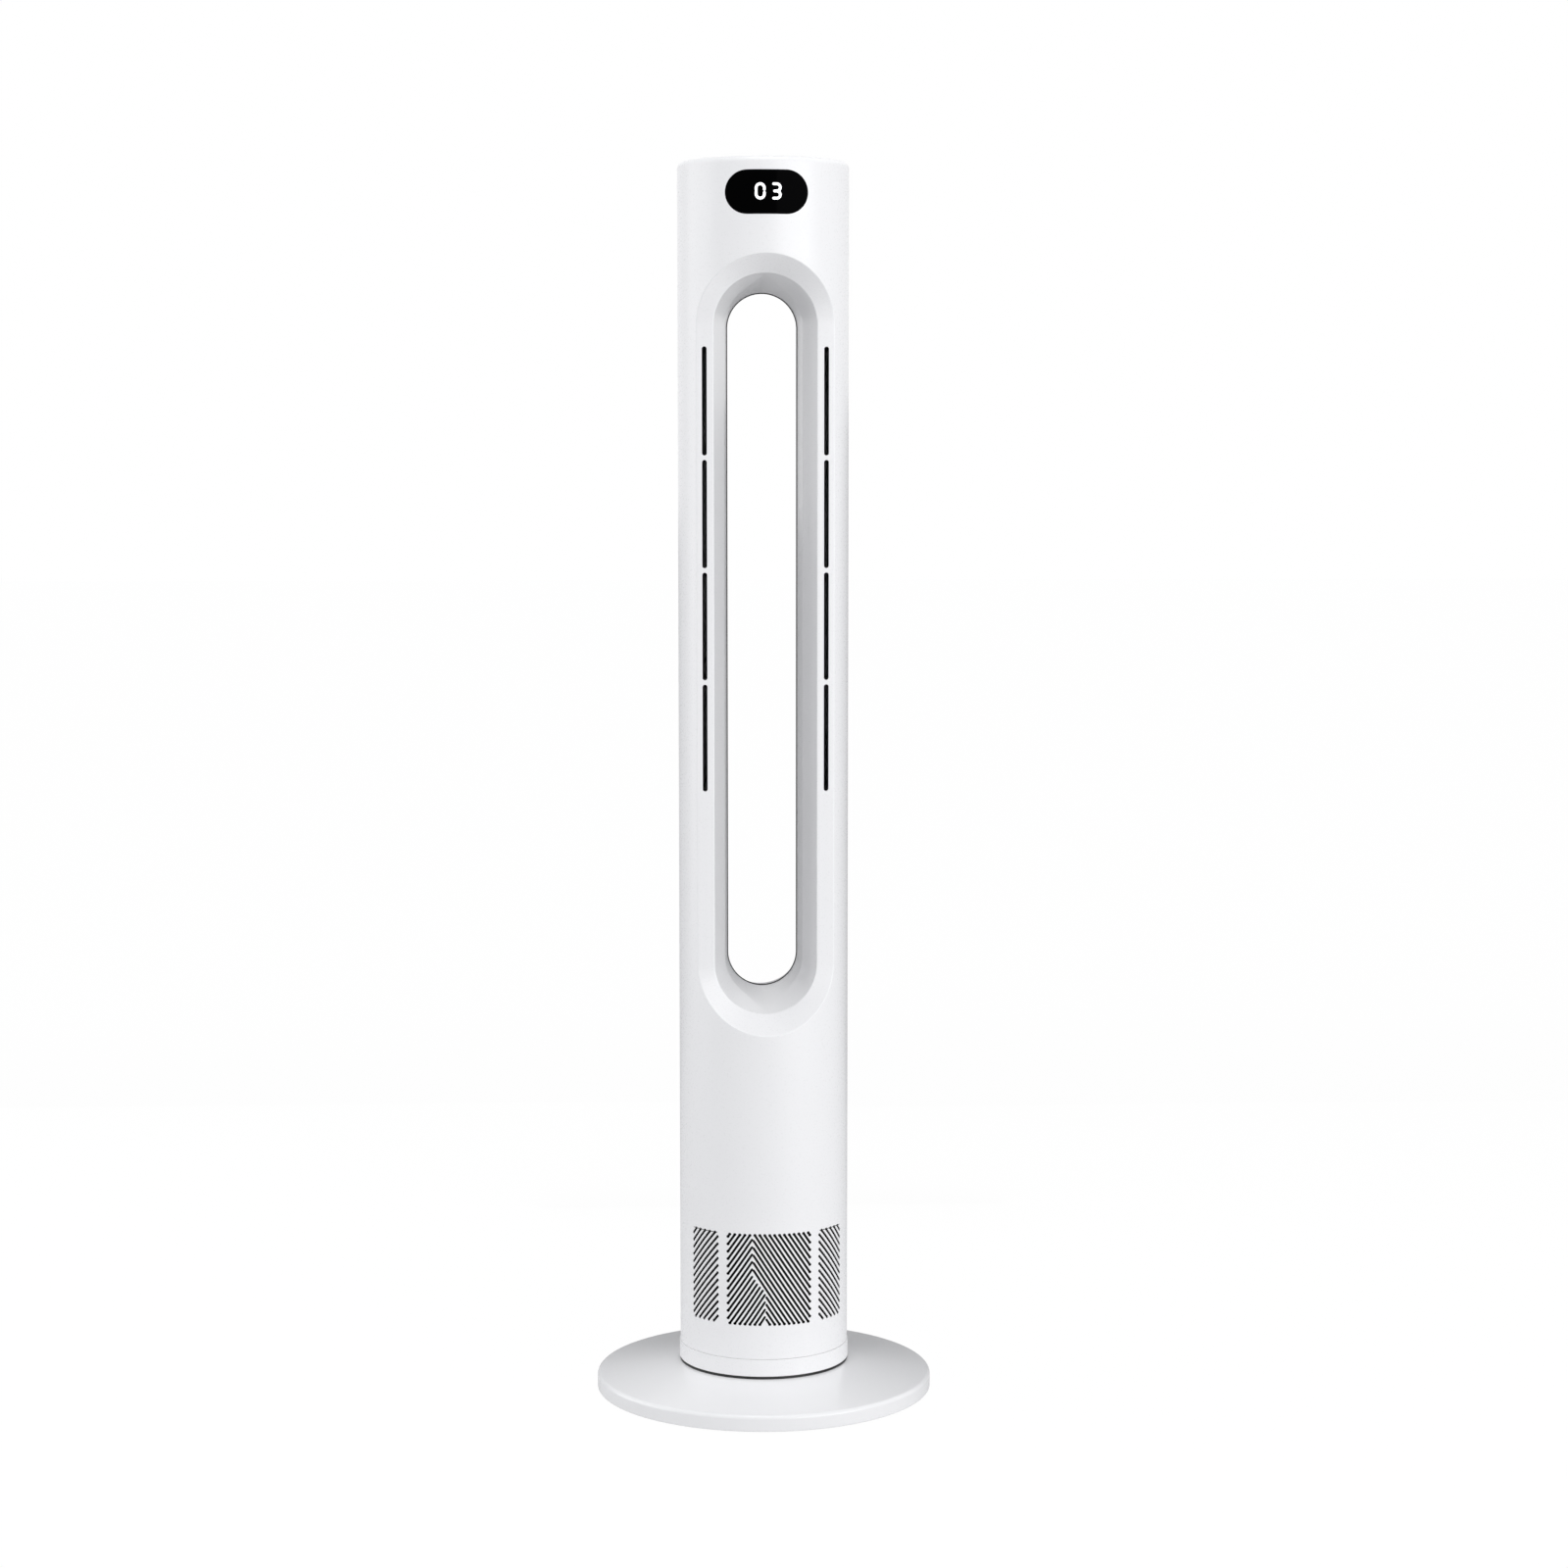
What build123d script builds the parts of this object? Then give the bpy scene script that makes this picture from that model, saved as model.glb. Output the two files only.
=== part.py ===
from build123d import *
from build123d.topology import SkipClean
from math import acos, asin, cos, degrees, hypot, pi, radians, sin, sqrt, tan
import os

# Bladeless tower fan: a round column with a tall oval opening on a flat disc base.
# Millimetres. The origin is the centre of the base on the floor, +Z is up and the
# front of the column, with its display and intake grille, faces -Y.

os.makedirs("parts", exist_ok=True)

# ---- driving dimensions ----
height = 1090.0
column_radius = 75.0
base_radius = 150.0
wall = 2.5
gap = 0.3

# Screws of 3 mm: the hole they bite into, the hole they pass and their own shank.
screw_radius = 1.5
screw_pass = screw_radius + 0.2
screw_shank = screw_radius - 0.02
screw_head = 3.0
head_height = 1.5
post_radius = 4.0

# Base: a disc whose top rises as a shallow cone to a sunk well in the middle.
base_underside = 1.5
base_rim_height = 15.1
base_cone_height = 26.0
base_cone_radius = 76.0
base_edge_round = 3.5
well_radius = 70.0
well_floor = 22.0

# Column: the black ring it turns on, its foot, and the shells on the foot.
ring_underside = base_cone_height + 0.4
foot_underside = 28.4
foot_top = 43.7
foot_radius = 75.8
shell_bottom = 43.9
rim_round = 5.0
split_y = 20.0

# Oval opening: two half circles joined by straight sides.
arc_low = 392.0
arc_high = 948.0
ring_outer = 60.0
ring_inner = 44.7
ring_depth_y = -46.0
crease = 34.4
crease_y = -4.0
throat = 31.5
throat_y = 30.0
seal_inner = 30.6
seal_thickness = 0.8
flare = 37.4
flare_y = 80.0

# Air slots in the two long sides of the ring.
slot_x = 52.8
slot_width = 4.2
slot_length = 93.6
slot_pitch = 97.4
slot_low = 544.1
slots_a_side = 4

# Intake grille: windows of slanted slits round the column, turned a little to the right.
grille_low = 74.0
grille_high = 156.5
grille_turn = 1.5
slit_width = 1.8
centre_slit_rise = 6.65
centre_slit_slope = 57.0
centre_window_width = 74.3
side_slit_rise = 6.5
side_slit_slope = 48.5
side_window_angle = 48.5
side_window_width = 32.1

# Display window, its digits and the keys on top.
display_z = 1059.4
display_width = 70.8
display_height = 37.2
lens_outer = column_radius - 0.3
lens_flange_radius = 71.3
digit_height = 15.4
digit_stroke = 2.6
nought_left = -10.7
nought_width = 10.0
three_left = 4.2
three_width = 8.7
key_radius = 7.4
key_places = (-27.0, -9.0, 9.0, 27.0)
key_y = -34.0

# Swivel: a gear fixed to the base and a pinion carried by the column.
swivel_teeth = 40
pinion_teeth = 12
gear_module = 1.0
gear_backlash = 0.25
gear_distance = (swivel_teeth + pinion_teeth) * gear_module / 2 + 0.15
spindle_radius = 16.0
spindle_bore = 11.0
gear_low = 53.0
gear_high = 59.0

# Fan: a mixed flow impeller under a ring of fixed vanes.
shaft_radius = 4.0
impeller_low = 176.0
impeller_high = 216.0
impeller_radius = 59.2
housing_radius = 60.0
housing_wall = 2.5
housing_posts = 67.5
blade_count = 9
vane_count = 11
blade_thickness = 1.8
pod_radius = 36.0
motor_radius = 28.0


# ---- shared shapes ----
def tube(outer, inner, low, high):
    """Upright tube between two heights."""
    rise = high - low
    up = (Align.CENTER, Align.CENTER, Align.MIN)
    body = Cylinder(outer, rise, align=up)
    if inner:
        body -= Cylinder(inner, rise, align=up)
    return Pos(0, 0, low) * body


def post(x, y, radius, low, high, bore=0.0):
    """Upright post at a place, with an optional hole right through."""
    return Pos(x, y, 0) * tube(radius, bore, low, high)


def block(x0, x1, y0, y1, z0, z1):
    """Box between two corners."""
    middle = Pos((x0 + x1) / 2, (y0 + y1) / 2, (z0 + z1) / 2)
    return middle * Box(x1 - x0, y1 - y0, z1 - z0)


def turned(*points):
    """Solid of revolution about Z from (radius, height) points."""
    return revolve(Plane.XZ * Polygon(*points, align=None), axis=Axis.Z)


def around(count, radius, start=0.0):
    """Evenly spaced (x, y) places on a circle."""
    angles = [radians(start + 360 * i / count) for i in range(count)]
    return [(radius * cos(a), radius * sin(a)) for a in angles]


def screw(x, y, seat, tip, rise=head_height, head=screw_head):
    """Pan-head screw whose head rests on a seat, above it or below it, and its shank."""
    head_end = seat + rise if tip < seat else seat - rise
    head_part = post(x, y, head, min(seat, head_end), max(seat, head_end))
    return head_part + post(x, y, screw_shank, min(seat, tip), max(seat, tip))


def save(shape, name):
    export_step(shape, f"parts/{name}.step")


def group(solids):
    """Separate solids kept together as one piece."""
    return Compound(children=[s for shape in solids for s in shape.solids()])


# ---- oval opening shapes ----
def oval_wire(radius, y_at):
    """Closed outline round the opening at a radius, at depth y_at(angle)."""
    steps, turn = 12, 15
    arcs = []
    for centre, first in ((arc_high, 0), (arc_low, 180)):
        angles = [first + turn * i for i in range(steps + 1)]
        points = []
        for a in angles:
            points.append((radius * cos(radians(a)), y_at(a), centre + radius * sin(radians(a))))
        depths = [p[1] for p in points]
        flat = max(depths) - min(depths) < 1e-6
        arc = ThreePointArc(points[0], points[steps // 2], points[-1]) if flat else Spline(*points)
        arcs.append(arc)
    left = Line(arcs[0] @ 1, arcs[1] @ 0)
    right = Line(arcs[1] @ 1, arcs[0] @ 0)
    return Wire([arcs[0], left, arcs[1], right])


def oval_prism(radius, y0, y1):
    """Straight sided plug of the opening between two depths."""
    return oval_loft(radius, y0, radius, y1)


def oval_loft(radius0, y0, radius1, y1):
    """Tapering plug of the opening between two depths."""
    wires = [oval_wire(radius0, lambda a: y0), oval_wire(radius1, lambda a: y1)]
    return Solid.make_loft(wires, ruled=True)


def ring_pocket(offset):
    """Recess whose outer edge lies on the column and whose floor edge is flat."""
    overreach = 1.1
    clear_of_column = 15
    outer = ring_outer + offset
    inner = ring_inner + offset
    depth = ring_depth_y + offset

    def edge_y(angle):
        on_column = -sqrt(column_radius ** 2 - (outer * cos(radians(angle))) ** 2)
        return depth + overreach * (on_column - depth)

    spread = inner + overreach * (outer - inner)
    wires = [
        oval_wire(spread, lambda a: -column_radius - clear_of_column),
        oval_wire(spread, edge_y),
        oval_wire(inner, lambda a: depth),
    ]
    return Solid.make_loft(wires, ruled=True)


# ---- grille ----
web_half = 0.6


def chevron_line(z):
    """Where the two slants of the middle window meet, as a distance from its centre."""
    high_place, low_place = -14.8, -3.6
    high_z, low_z = 117.0, 104.0
    share = min(1.0, max(0.0, (high_z - z) / (high_z - low_z)))
    return high_place + share * (low_place - high_place)


def slit_spans(width, slope, rise, inside=lambda s, z: True):
    """Centre lines of the slits that fit a window, as pairs of (across, up) points."""
    steps = 200
    half = width / 2 - slit_width / 2
    low = grille_low + slit_width / 2
    high = grille_high - slit_width / 2
    spans = []
    reach = int((high - low + 2 * half * abs(slope)) / rise) + 2
    for i in range(-reach, reach):
        middle_z = (low + high) / 2 + i * rise
        run = []
        for k in range(steps + 1):
            s = -half + 2 * half * k / steps
            z = middle_z + slope * s
            if low <= z <= high and inside(s, z):
                run.append((s, z))
        if len(run) > 1 and hypot(run[-1][0] - run[0][0], run[-1][1] - run[0][1]) > slit_width:
            spans.append((run[0], run[-1]))
    return spans


def slit_cutters(spans, facing):
    """Straight slits cut through the wall, square to the window."""
    nearest, reach = 52, 30
    turn = Rot(0, 0, facing)
    cutters = []
    for (s0, z0), (s1, z1) in spans:
        middle = ((s0 + s1) / 2, (z0 + z1) / 2)
        length = hypot(s1 - s0, z1 - z0)
        angle = degrees(asin((z1 - z0) / length))
        flat = Pos(*middle) * Rot(0, 0, angle) * Rectangle(length + slit_width, slit_width)
        face = Plane(origin=(0, -nearest, 0), x_dir=(1, 0, 0), z_dir=(0, -1, 0)) * flat
        cutters += (turn * extrude(face, reach)).solids()
    return cutters


def grille_cutters(front):
    """Every slit of one shell: a middle window and one window each side of it."""
    facing = grille_turn if front else grille_turn + 180
    clear = slit_width / 2 + web_half
    slope = tan(radians(centre_slit_slope))
    left = slit_spans(
        centre_window_width, slope, centre_slit_rise, lambda s, z: s < chevron_line(z) - clear
    )
    right = slit_spans(
        centre_window_width, -slope, centre_slit_rise, lambda s, z: s > chevron_line(z) + clear
    )
    cutters = slit_cutters(left + right, facing)
    slope = tan(radians(side_slit_slope))
    for side in (-1, 1):
        spans = slit_spans(side_window_width, -side * slope, side_slit_rise)
        cutters += slit_cutters(spans, facing + side * side_window_angle)
    return cutters


# ---- gears ----
def gear_face(teeth, addendum):
    """Involute gear outline with its first tooth centred on +X."""
    pressure = radians(20)
    dedendum = 1.25
    flank_points = 4
    pitch = teeth * gear_module / 2
    base = pitch * cos(pressure)
    tip = pitch + addendum * gear_module
    root = pitch - dedendum * gear_module
    half_tooth = pi / (2 * teeth) - gear_backlash / (2 * pitch)
    involute = tan(pressure) - pressure
    start = max(base, root)
    flank = []
    for i in range(flank_points):
        r = start + (tip - start) * i / (flank_points - 1)
        roll = sqrt(max(0.0, (r / base) ** 2 - 1))
        flank.append((r, half_tooth + involute - (roll - acos(min(1.0, base / r)))))
    if start > root:
        flank.insert(0, (root, flank[0][1]))
    points = []
    for i in range(teeth):
        centre = 2 * pi * i / teeth
        for r, a in flank:
            points.append((r * cos(centre - a), r * sin(centre - a)))
        for r, a in reversed(flank):
            points.append((r * cos(centre + a), r * sin(centre + a)))
    return Polygon(*points, align=None)


# ---- base ----
inlet_z = 7.7
inlet_half_pitch = 3.9
inlet_end_radius = 4.3
inlet_waist = 0.8
inlet_floor_y = 136.0
pin_half_pitch = 4.3
pin_radius = 1.2
bottom_cover_top = 4.0
plate_low = bottom_cover_top + 1.0
plate_high = plate_low + 6.0
plate_inner = 42.0
plate_outer = 122.0
cover_roof = well_floor - wall
base_screw_places = around(6, 132, 0)
base_foot_places = around(6, 122, 30)
base_foot_radius = 9.0
base_foot_height = 2.3
spindle_screw_places = around(4, 27, 45)


def figure_eight(y0, y1):
    """The two-hole mains inlet, swept along Y."""
    flat = Pos(-inlet_half_pitch, 0) * Circle(inlet_end_radius)
    flat += Pos(inlet_half_pitch, 0) * Circle(inlet_end_radius)
    flat += Rectangle(2 * inlet_half_pitch, 2 * (inlet_end_radius - inlet_waist))
    face = Plane(origin=(0, y0, inlet_z), x_dir=(-1, 0, 0), z_dir=(0, 1, 0)) * flat
    return extrude(face, y1 - y0)


def base_outline():
    """Solid shape of the base as seen from outside, without its hollow."""
    profile = Polygon(
        (0, base_underside),
        (base_radius, base_underside),
        (base_radius, base_rim_height),
        (base_cone_radius, base_cone_height),
        (well_radius, base_cone_height),
        (well_radius, well_floor),
        (0, well_floor),
        align=None,
    )
    corner = profile.vertices().sort_by(Axis.X)[-2:].sort_by(Axis.Y)[-1]
    return revolve(Plane.XZ * fillet(corner, base_edge_round), axis=Axis.Z)


def base_hollow():
    """Space inside the cover: a little over a wall's thickness within its outside."""
    side = base_radius - wall
    side_top, shoulder_top, peak = 11.0, 12.8, 23.6
    return turned(
        (0, base_underside - 1),
        (side, base_underside - 1),
        (side, side_top),
        (side - wall, shoulder_top),
        (well_radius + wall, peak),
        (well_radius + wall, cover_roof),
        (0, cover_roof),
    )


def make_base_cover():
    """White cover with its well, screw bosses, spindle seat and mains socket."""
    boss_top, hole_top = 14.2, 12.0
    rib_outer, rib_inner = 49, 46
    socket_half_width, socket_low, socket_high = 12, 2, 14
    cover = base_outline() - base_hollow()
    cover += tube(rib_outer, rib_inner, plate_high, cover_roof)
    for x, y in base_screw_places:
        cover += post(x, y, post_radius, bottom_cover_top + 0.2, boss_top)
    socket = block(
        -socket_half_width, socket_half_width, inlet_floor_y, base_radius, socket_low, socket_high
    )
    cover += socket & base_outline()
    cover -= figure_eight(inlet_floor_y - 1, base_radius + 1)
    cover -= tube(spindle_radius + gap, 0, cover_roof - 1, well_floor + 1)
    for x, y in base_screw_places:
        cover -= post(x, y, screw_radius, bottom_cover_top, hole_top)
    for x, y in spindle_screw_places:
        cover -= post(x, y, screw_radius, cover_roof - 1, well_floor - 1)
    return cover


def make_weight_plate():
    """Steel plate that steadies the fan, with a slot for the mains lead."""
    lead_half_width = 6
    plate = tube(plate_outer, plate_inner, plate_low, plate_high)
    lead_slot = block(
        -lead_half_width, lead_half_width, plate_inner - 2, plate_outer + 2, plate_low - 1, plate_high + 1
    )
    return plate - lead_slot


def make_bottom_cover():
    """Black underside with two rings under the plate, foot recesses and screw holes."""
    rib = 4
    socket_half_width = 12.4
    recess_radius, recess_top = 3.4, 2.6
    cover = tube(base_radius - wall - gap, 0, base_underside, bottom_cover_top)
    cover += tube(plate_inner + 2, plate_inner + 2 - rib, bottom_cover_top, plate_low)
    cover += tube(plate_outer - 2, plate_outer - 2 - rib, bottom_cover_top, plate_low)
    cover -= block(
        -socket_half_width, socket_half_width, inlet_floor_y - 0.4, base_radius, 0, plate_low
    )
    for x, y in base_foot_places:
        cover -= post(x, y, base_foot_radius + 0.2, 0, base_foot_height)
    for x, y in base_screw_places:
        cover -= post(x, y, screw_pass, 0, plate_low)
        cover -= post(x, y, recess_radius, 0, recess_top)
    return cover


def make_base_feet():
    """Rubber feet let into the underside."""
    return group(post(x, y, base_foot_radius, 0, base_foot_height) for x, y in base_foot_places)


def make_base_screws():
    """Screws from below through the bottom cover into the bosses."""
    seat, tip, flat_head = 2.6, 11.0, 1.0
    return group(screw(x, y, seat, tip, flat_head) for x, y in base_screw_places)


flange_thickness = 3.0
spindle_low = cover_roof - flange_thickness
clip_groove_low = 50.2
clip_groove_high = 52.0


def make_spindle():
    """Hollow steel spindle with a flange under the well floor and a groove for its clip."""
    flange_radius, groove_depth, spindle_top = 34, 1.0, 61
    spindle = tube(spindle_radius, spindle_bore, spindle_low, spindle_top)
    spindle += tube(flange_radius, spindle_bore, spindle_low, cover_roof)
    spindle -= tube(
        spindle_radius + 1, spindle_radius - groove_depth, clip_groove_low, clip_groove_high
    )
    for x, y in spindle_screw_places:
        spindle -= post(x, y, screw_pass, spindle_low - 1, cover_roof + 1)
    return spindle


def make_spindle_clip():
    """Ring in the spindle's groove that keeps the foot down."""
    clip_outer, play = 20.5, 0.1
    inner = spindle_radius - 0.95
    return tube(clip_outer, inner, clip_groove_low + play, clip_groove_high - play)


def make_spindle_screws():
    tip = well_floor - 1.2
    return group(screw(x, y, spindle_low, tip) for x, y in spindle_screw_places)


def lying_pin(x, y0, y1, radius):
    """Round pin along Y at the height of the inlet."""
    return Pos(x, (y0 + y1) / 2, inlet_z) * Rot(90, 0, 0) * Cylinder(radius, y1 - y0)


inlet_back_y = 125.0


def make_inlet_core():
    """Insulating block that holds the two pins behind the socket."""
    core_half_width, core_low, core_high = 10, 4.2, 13.2
    core = block(
        -core_half_width, core_half_width, inlet_back_y, inlet_floor_y, core_low, core_high
    )
    for side in (-1, 1):
        core -= lying_pin(side * pin_half_pitch, inlet_back_y - 1, inlet_floor_y + 1, pin_radius + 0.02)
    return core


def make_inlet_pins():
    """Two pins that stand in the socket, 6 mm back from its mouth."""
    back, front = inlet_back_y - 2, base_radius - 6
    return group(lying_pin(side * pin_half_pitch, back, front, pin_radius) for side in (-1, 1))


def make_mains_lead():
    """Two-core lead from the inlet to the top of the hollow spindle."""
    bend, lead_radius, lead_top = 8.0, 2.4, 60
    half_turn = bend * sin(pi / 4)
    start = Vector(0, inlet_back_y - 0.2, inlet_z)
    line = Line(start, (0, bend, inlet_z))
    arc = ThreePointArc(
        (0, bend, inlet_z), (0, bend - half_turn, inlet_z + bend - half_turn), (0, 0, inlet_z + bend)
    )
    rise = Line((0, 0, inlet_z + bend), (0, 0, lead_top))
    path = Wire([line, arc, rise])
    section = Plane(origin=start, z_dir=(0, -1, 0)) * Circle(lead_radius)
    return sweep(section, path=path)


# ---- swivel ----
washer_inner = 40.0
washer_outer = 60.0
washer_top = 24.2
posts_top = 62.0
rear_posts = ((42.0, 44.0), (-42.0, 44.0))
front_posts = ((-46.0, -40.0), (46.0, -40.0))
motor_y = gear_distance + 8.0
pinion_shaft = 2.5


def make_turning_ring():
    """Black ring under the foot that glides on the washer and closes the gap to the base."""
    tread = tube(washer_outer + 2, washer_inner - 2, washer_top + 0.1, ring_underside)
    return tread + tube(foot_radius - 1.5, washer_inner - 2, ring_underside, foot_underside)


def make_foot():
    """Turning foot of the column: floor, outer collar, inner spigot, hub and posts."""
    floor_top = foot_underside + 3
    spigot_outer, spigot_inner, spigot_top = 72.2, 69.8, 52
    hub_radius, hub_top = 20.0, 50
    bore = spindle_radius + 0.06
    foot = tube(foot_radius, bore, foot_underside, floor_top)
    foot += tube(foot_radius, foot_radius - wall - 0.1, foot_underside, foot_top)
    foot += tube(spigot_outer, spigot_inner, foot_underside, spigot_top)
    foot += tube(hub_radius, bore, foot_underside, hub_top)
    for x, y in rear_posts + front_posts:
        foot += post(x, y, post_radius, foot_underside, posts_top)
        foot -= post(x, y, screw_radius, posts_top - 12, posts_top + 1)
    return foot


bracket_top = posts_top + 2.0


def make_motor_bracket():
    """Steel bridge over the rear posts that carries the swing motor."""
    half_width, y_near, y_far = 47, 38, 50
    ear_radius, boss_hole = 17, 8
    bracket = block(-half_width, half_width, y_near, y_far, posts_top, bracket_top)
    bracket += post(0, motor_y, ear_radius, posts_top, bracket_top)
    bracket -= post(0, gear_distance, boss_hole, posts_top - 1, bracket_top + 1)
    for x, y in rear_posts:
        bracket -= post(x, y, screw_pass, posts_top - 1, bracket_top + 1)
    return bracket


def make_swivel_motor():
    """Small geared stepper motor with its output boss off centre."""
    can_radius, can_height = 14, 19
    ear_reach, ear_half_width = 21, 3.5
    motor = post(0, motor_y, can_radius, bracket_top, bracket_top + can_height)
    motor += block(
        -ear_reach, ear_reach, motor_y - ear_half_width, motor_y + ear_half_width,
        bracket_top, bracket_top + 1,
    )
    motor -= post(0, gear_distance, pinion_shaft + 0.06, bracket_top - 1, bracket_top + 8)
    return motor


def make_pinion():
    """Pinion on its shaft, turned so that a gap faces the tooth of the fixed gear."""
    blank = extrude(gear_face(pinion_teeth, 0.9), gear_high - gear_low)
    mesh_turn = 90 + 180 + 180 / pinion_teeth
    pinion = Pos(0, gear_distance, gear_low) * Rot(0, 0, mesh_turn) * blank
    pinion += post(0, gear_distance, pinion_shaft, gear_low, bracket_top + 7.5)
    return pinion


def make_swivel_gear():
    """Gear fixed to the spindle; one tooth points at the pinion."""
    gear = extrude(gear_face(swivel_teeth, 0.8), gear_high - gear_low)
    gear = Pos(0, 0, gear_low) * Rot(0, 0, 90) * gear
    return gear - tube(spindle_radius, 0, gear_low - 1, gear_high + 1)


# ---- power board ----
board_low = 64.0
board_top = board_low + 1.6


def make_power_board():
    """Board across the front of the foot, cut out round the swing drive."""
    board_radius, rear_edge_y, cut_out = 66, 20, 24
    board = tube(board_radius, 0, board_low, board_top)
    board = board & block(-board_radius, board_radius, -board_radius, rear_edge_y, board_low, board_top)
    board -= tube(cut_out, 0, board_low - 1, board_top + 1)
    for x, y in front_posts:
        board -= post(x, y, screw_pass, board_low - 1, board_top + 1)
    return board


def make_board_posts():
    """Spacers between the front posts and the board."""
    return group(post(x, y, post_radius, posts_top, board_low, screw_pass) for x, y in front_posts)


def make_board_parts():
    """The large components that stand on the power board."""
    transformer = block(-20, 4, -58, -38, board_top, 84)
    large_capacitor = post(18, -50, 8, board_top, 92)
    small_capacitor = post(30, -30, 5, board_top, 80)
    choke = post(-36, -22, 9, board_top, 73, 4)
    heat_sink = block(36, 39, -26, 8, board_top, 90)
    mains_connector = block(-58, -46, -18, -6, board_top, 74)
    motor_connector = block(-60, -50, 2, 16, board_top, 74)
    bridge_rectifier = block(-14, 14, -34, -28, board_top, 70)
    return group(
        [
            transformer, large_capacitor, small_capacitor, choke,
            heat_sink, mains_connector, motor_connector, bridge_rectifier,
        ]
    )


def make_post_screws():
    """Screws of the motor bracket and the power board."""
    tip = posts_top - 10
    solids = [screw(x, y, bracket_top, tip) for x, y in rear_posts]
    solids += [screw(x, y, board_top, tip) for x, y in front_posts]
    return group(solids)


# ---- fan ----
inlet_ring_low = 162.0
fan_posts_top = 210.0
housing_low = 172.3
housing_top = 222.0
housing_flange_low = housing_top - 3
damper_low = 216.2
damper_high = 224.5
fan_post_places = around(4, housing_posts, 45)


def make_inlet_ring():
    """Bell mouth that closes the column round the impeller's eye, with the fan's posts."""
    plate_edge = column_radius - wall - 0.4
    plate_top = inlet_ring_low + wall
    lip_top = inlet_ring_low + 10
    mouth = turned(
        (plate_edge, inlet_ring_low),
        (plate_edge, plate_top),
        (66.5, plate_top),
        (63.0, plate_top + 2.5),
        (61.5, lip_top),
        (58.8, lip_top),
        (60.5, inlet_ring_low + 3.5),
        (64.5, inlet_ring_low),
    )
    for x, y in fan_post_places:
        mouth += post(x, y, post_radius, inlet_ring_low, fan_posts_top)
        mouth -= post(x, y, screw_radius, fan_posts_top - 15, fan_posts_top + 1)
    return mouth


def make_fan_housing():
    """Tube round the impeller with a flange that hangs in the dampers."""
    flange_radius, damper_hole = 71.8, 3.0
    housing = tube(housing_radius + housing_wall, housing_radius, housing_low, housing_top)
    housing += tube(flange_radius, housing_radius, housing_flange_low, housing_top)
    for x, y in fan_post_places:
        housing -= post(x, y, damper_hole, fan_posts_top, housing_top + 1)
    return housing


def make_dampers():
    """Rubber bushes between the posts and the fan housing."""
    brim, neck, play = 4.8, 2.95, 0.1
    solids = []
    for x, y in fan_post_places:
        bush = post(x, y, brim, damper_low, housing_flange_low - play)
        bush += post(x, y, neck, damper_low, damper_high)
        bush += post(x, y, brim, housing_top + play, damper_high)
        solids.append(bush - post(x, y, screw_pass, damper_low - 1, damper_high + 1))
    return group(solids)


def make_damper_sleeves():
    """Steel sleeves that set the dampers' height on the posts."""
    return group(post(x, y, 3.0, fan_posts_top, damper_low, screw_pass) for x, y in fan_post_places)


def make_damper_screws():
    tip = fan_posts_top - 13
    return group(screw(x, y, damper_high, tip, 2.0, 3.5) for x, y in fan_post_places)


def blade(root, tip, angle_root, angle_tip, middle, chord_root, chord_tip):
    """Twisted plate that runs outwards along +X from the root to the tip radius."""
    faces = []
    for r, angle, chord in ((root, angle_root, chord_root), (tip, angle_tip, chord_tip)):
        plane = Plane(origin=(r, 0, middle), x_dir=(0, 1, 0), z_dir=(1, 0, 0))
        faces.append(plane * Rot(0, 0, angle) * Rectangle(chord, blade_thickness))
    return loft(faces, ruled=True)


def make_impeller():
    """Conical hub that widens upwards, with twisted blades round it."""
    hub_top, nut_room, web = 34, 10, 14
    hub = turned(
        (shaft_radius, impeller_low + 4),
        (14, impeller_low + 4),
        (24, impeller_low + 12),
        (hub_top, impeller_high),
        (hub_top - 4, impeller_high),
        (20, impeller_low + 16),
        (nut_room, impeller_low + web),
        (nut_room, impeller_high),
        (shaft_radius, impeller_high),
    )
    middle = (impeller_low + impeller_high) / 2
    swept = tube(impeller_radius, 22, impeller_low, impeller_high)
    one = blade(15, impeller_radius + 4, 58, 34, middle, 44, 48) & swept
    impeller = hub
    for i in range(blade_count):
        impeller += Rot(0, 0, 360 * i / blade_count) * one
    return impeller - tube(hub_top - 4.1, nut_room, impeller_high - 3, impeller_high + 1)


motor_low = 224.5
motor_high = 262.0
lid_top = motor_low + 2.5
case_wall = 2.0
bearing_outer = 11.0
bearing_height = 6.0
bearing_grip = 14.0
stator_low = 234.0
stator_high = 251.0
stator_bore = 15.6
tooth_count = 9


def make_diffuser():
    """Fixed vanes that carry the motor pod in the middle of the air path."""
    pod_wall = 2
    low, high = housing_top + 0.2, 268
    shoulder, slope_top, dome_top = 262, 272, 278
    ring = tube(housing_radius + housing_wall, housing_radius, low, high)
    pod = turned(
        (pod_radius, low),
        (pod_radius, shoulder),
        (30, slope_top),
        (12, dome_top),
        (0, dome_top),
        (0, dome_top - 2.5),
        (11, dome_top - 2.5),
        (28.6, slope_top - 2),
        (pod_radius - pod_wall, shoulder - 1),
        (pod_radius - pod_wall, low),
    )
    vane_low, vane_high = 224.0, 262.0
    swept = tube(housing_radius + 1, pod_radius - 1, vane_low, vane_high)
    one = blade(30, 68, -68, -62, (vane_low + vane_high) / 2, 42, 46) & swept
    diffuser = ring + pod
    for i in range(vane_count):
        diffuser += Rot(0, 0, 360 * i / vane_count) * one
    return diffuser + tube(pod_radius - pod_wall, motor_radius + 0.2, 255, 258)


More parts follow.
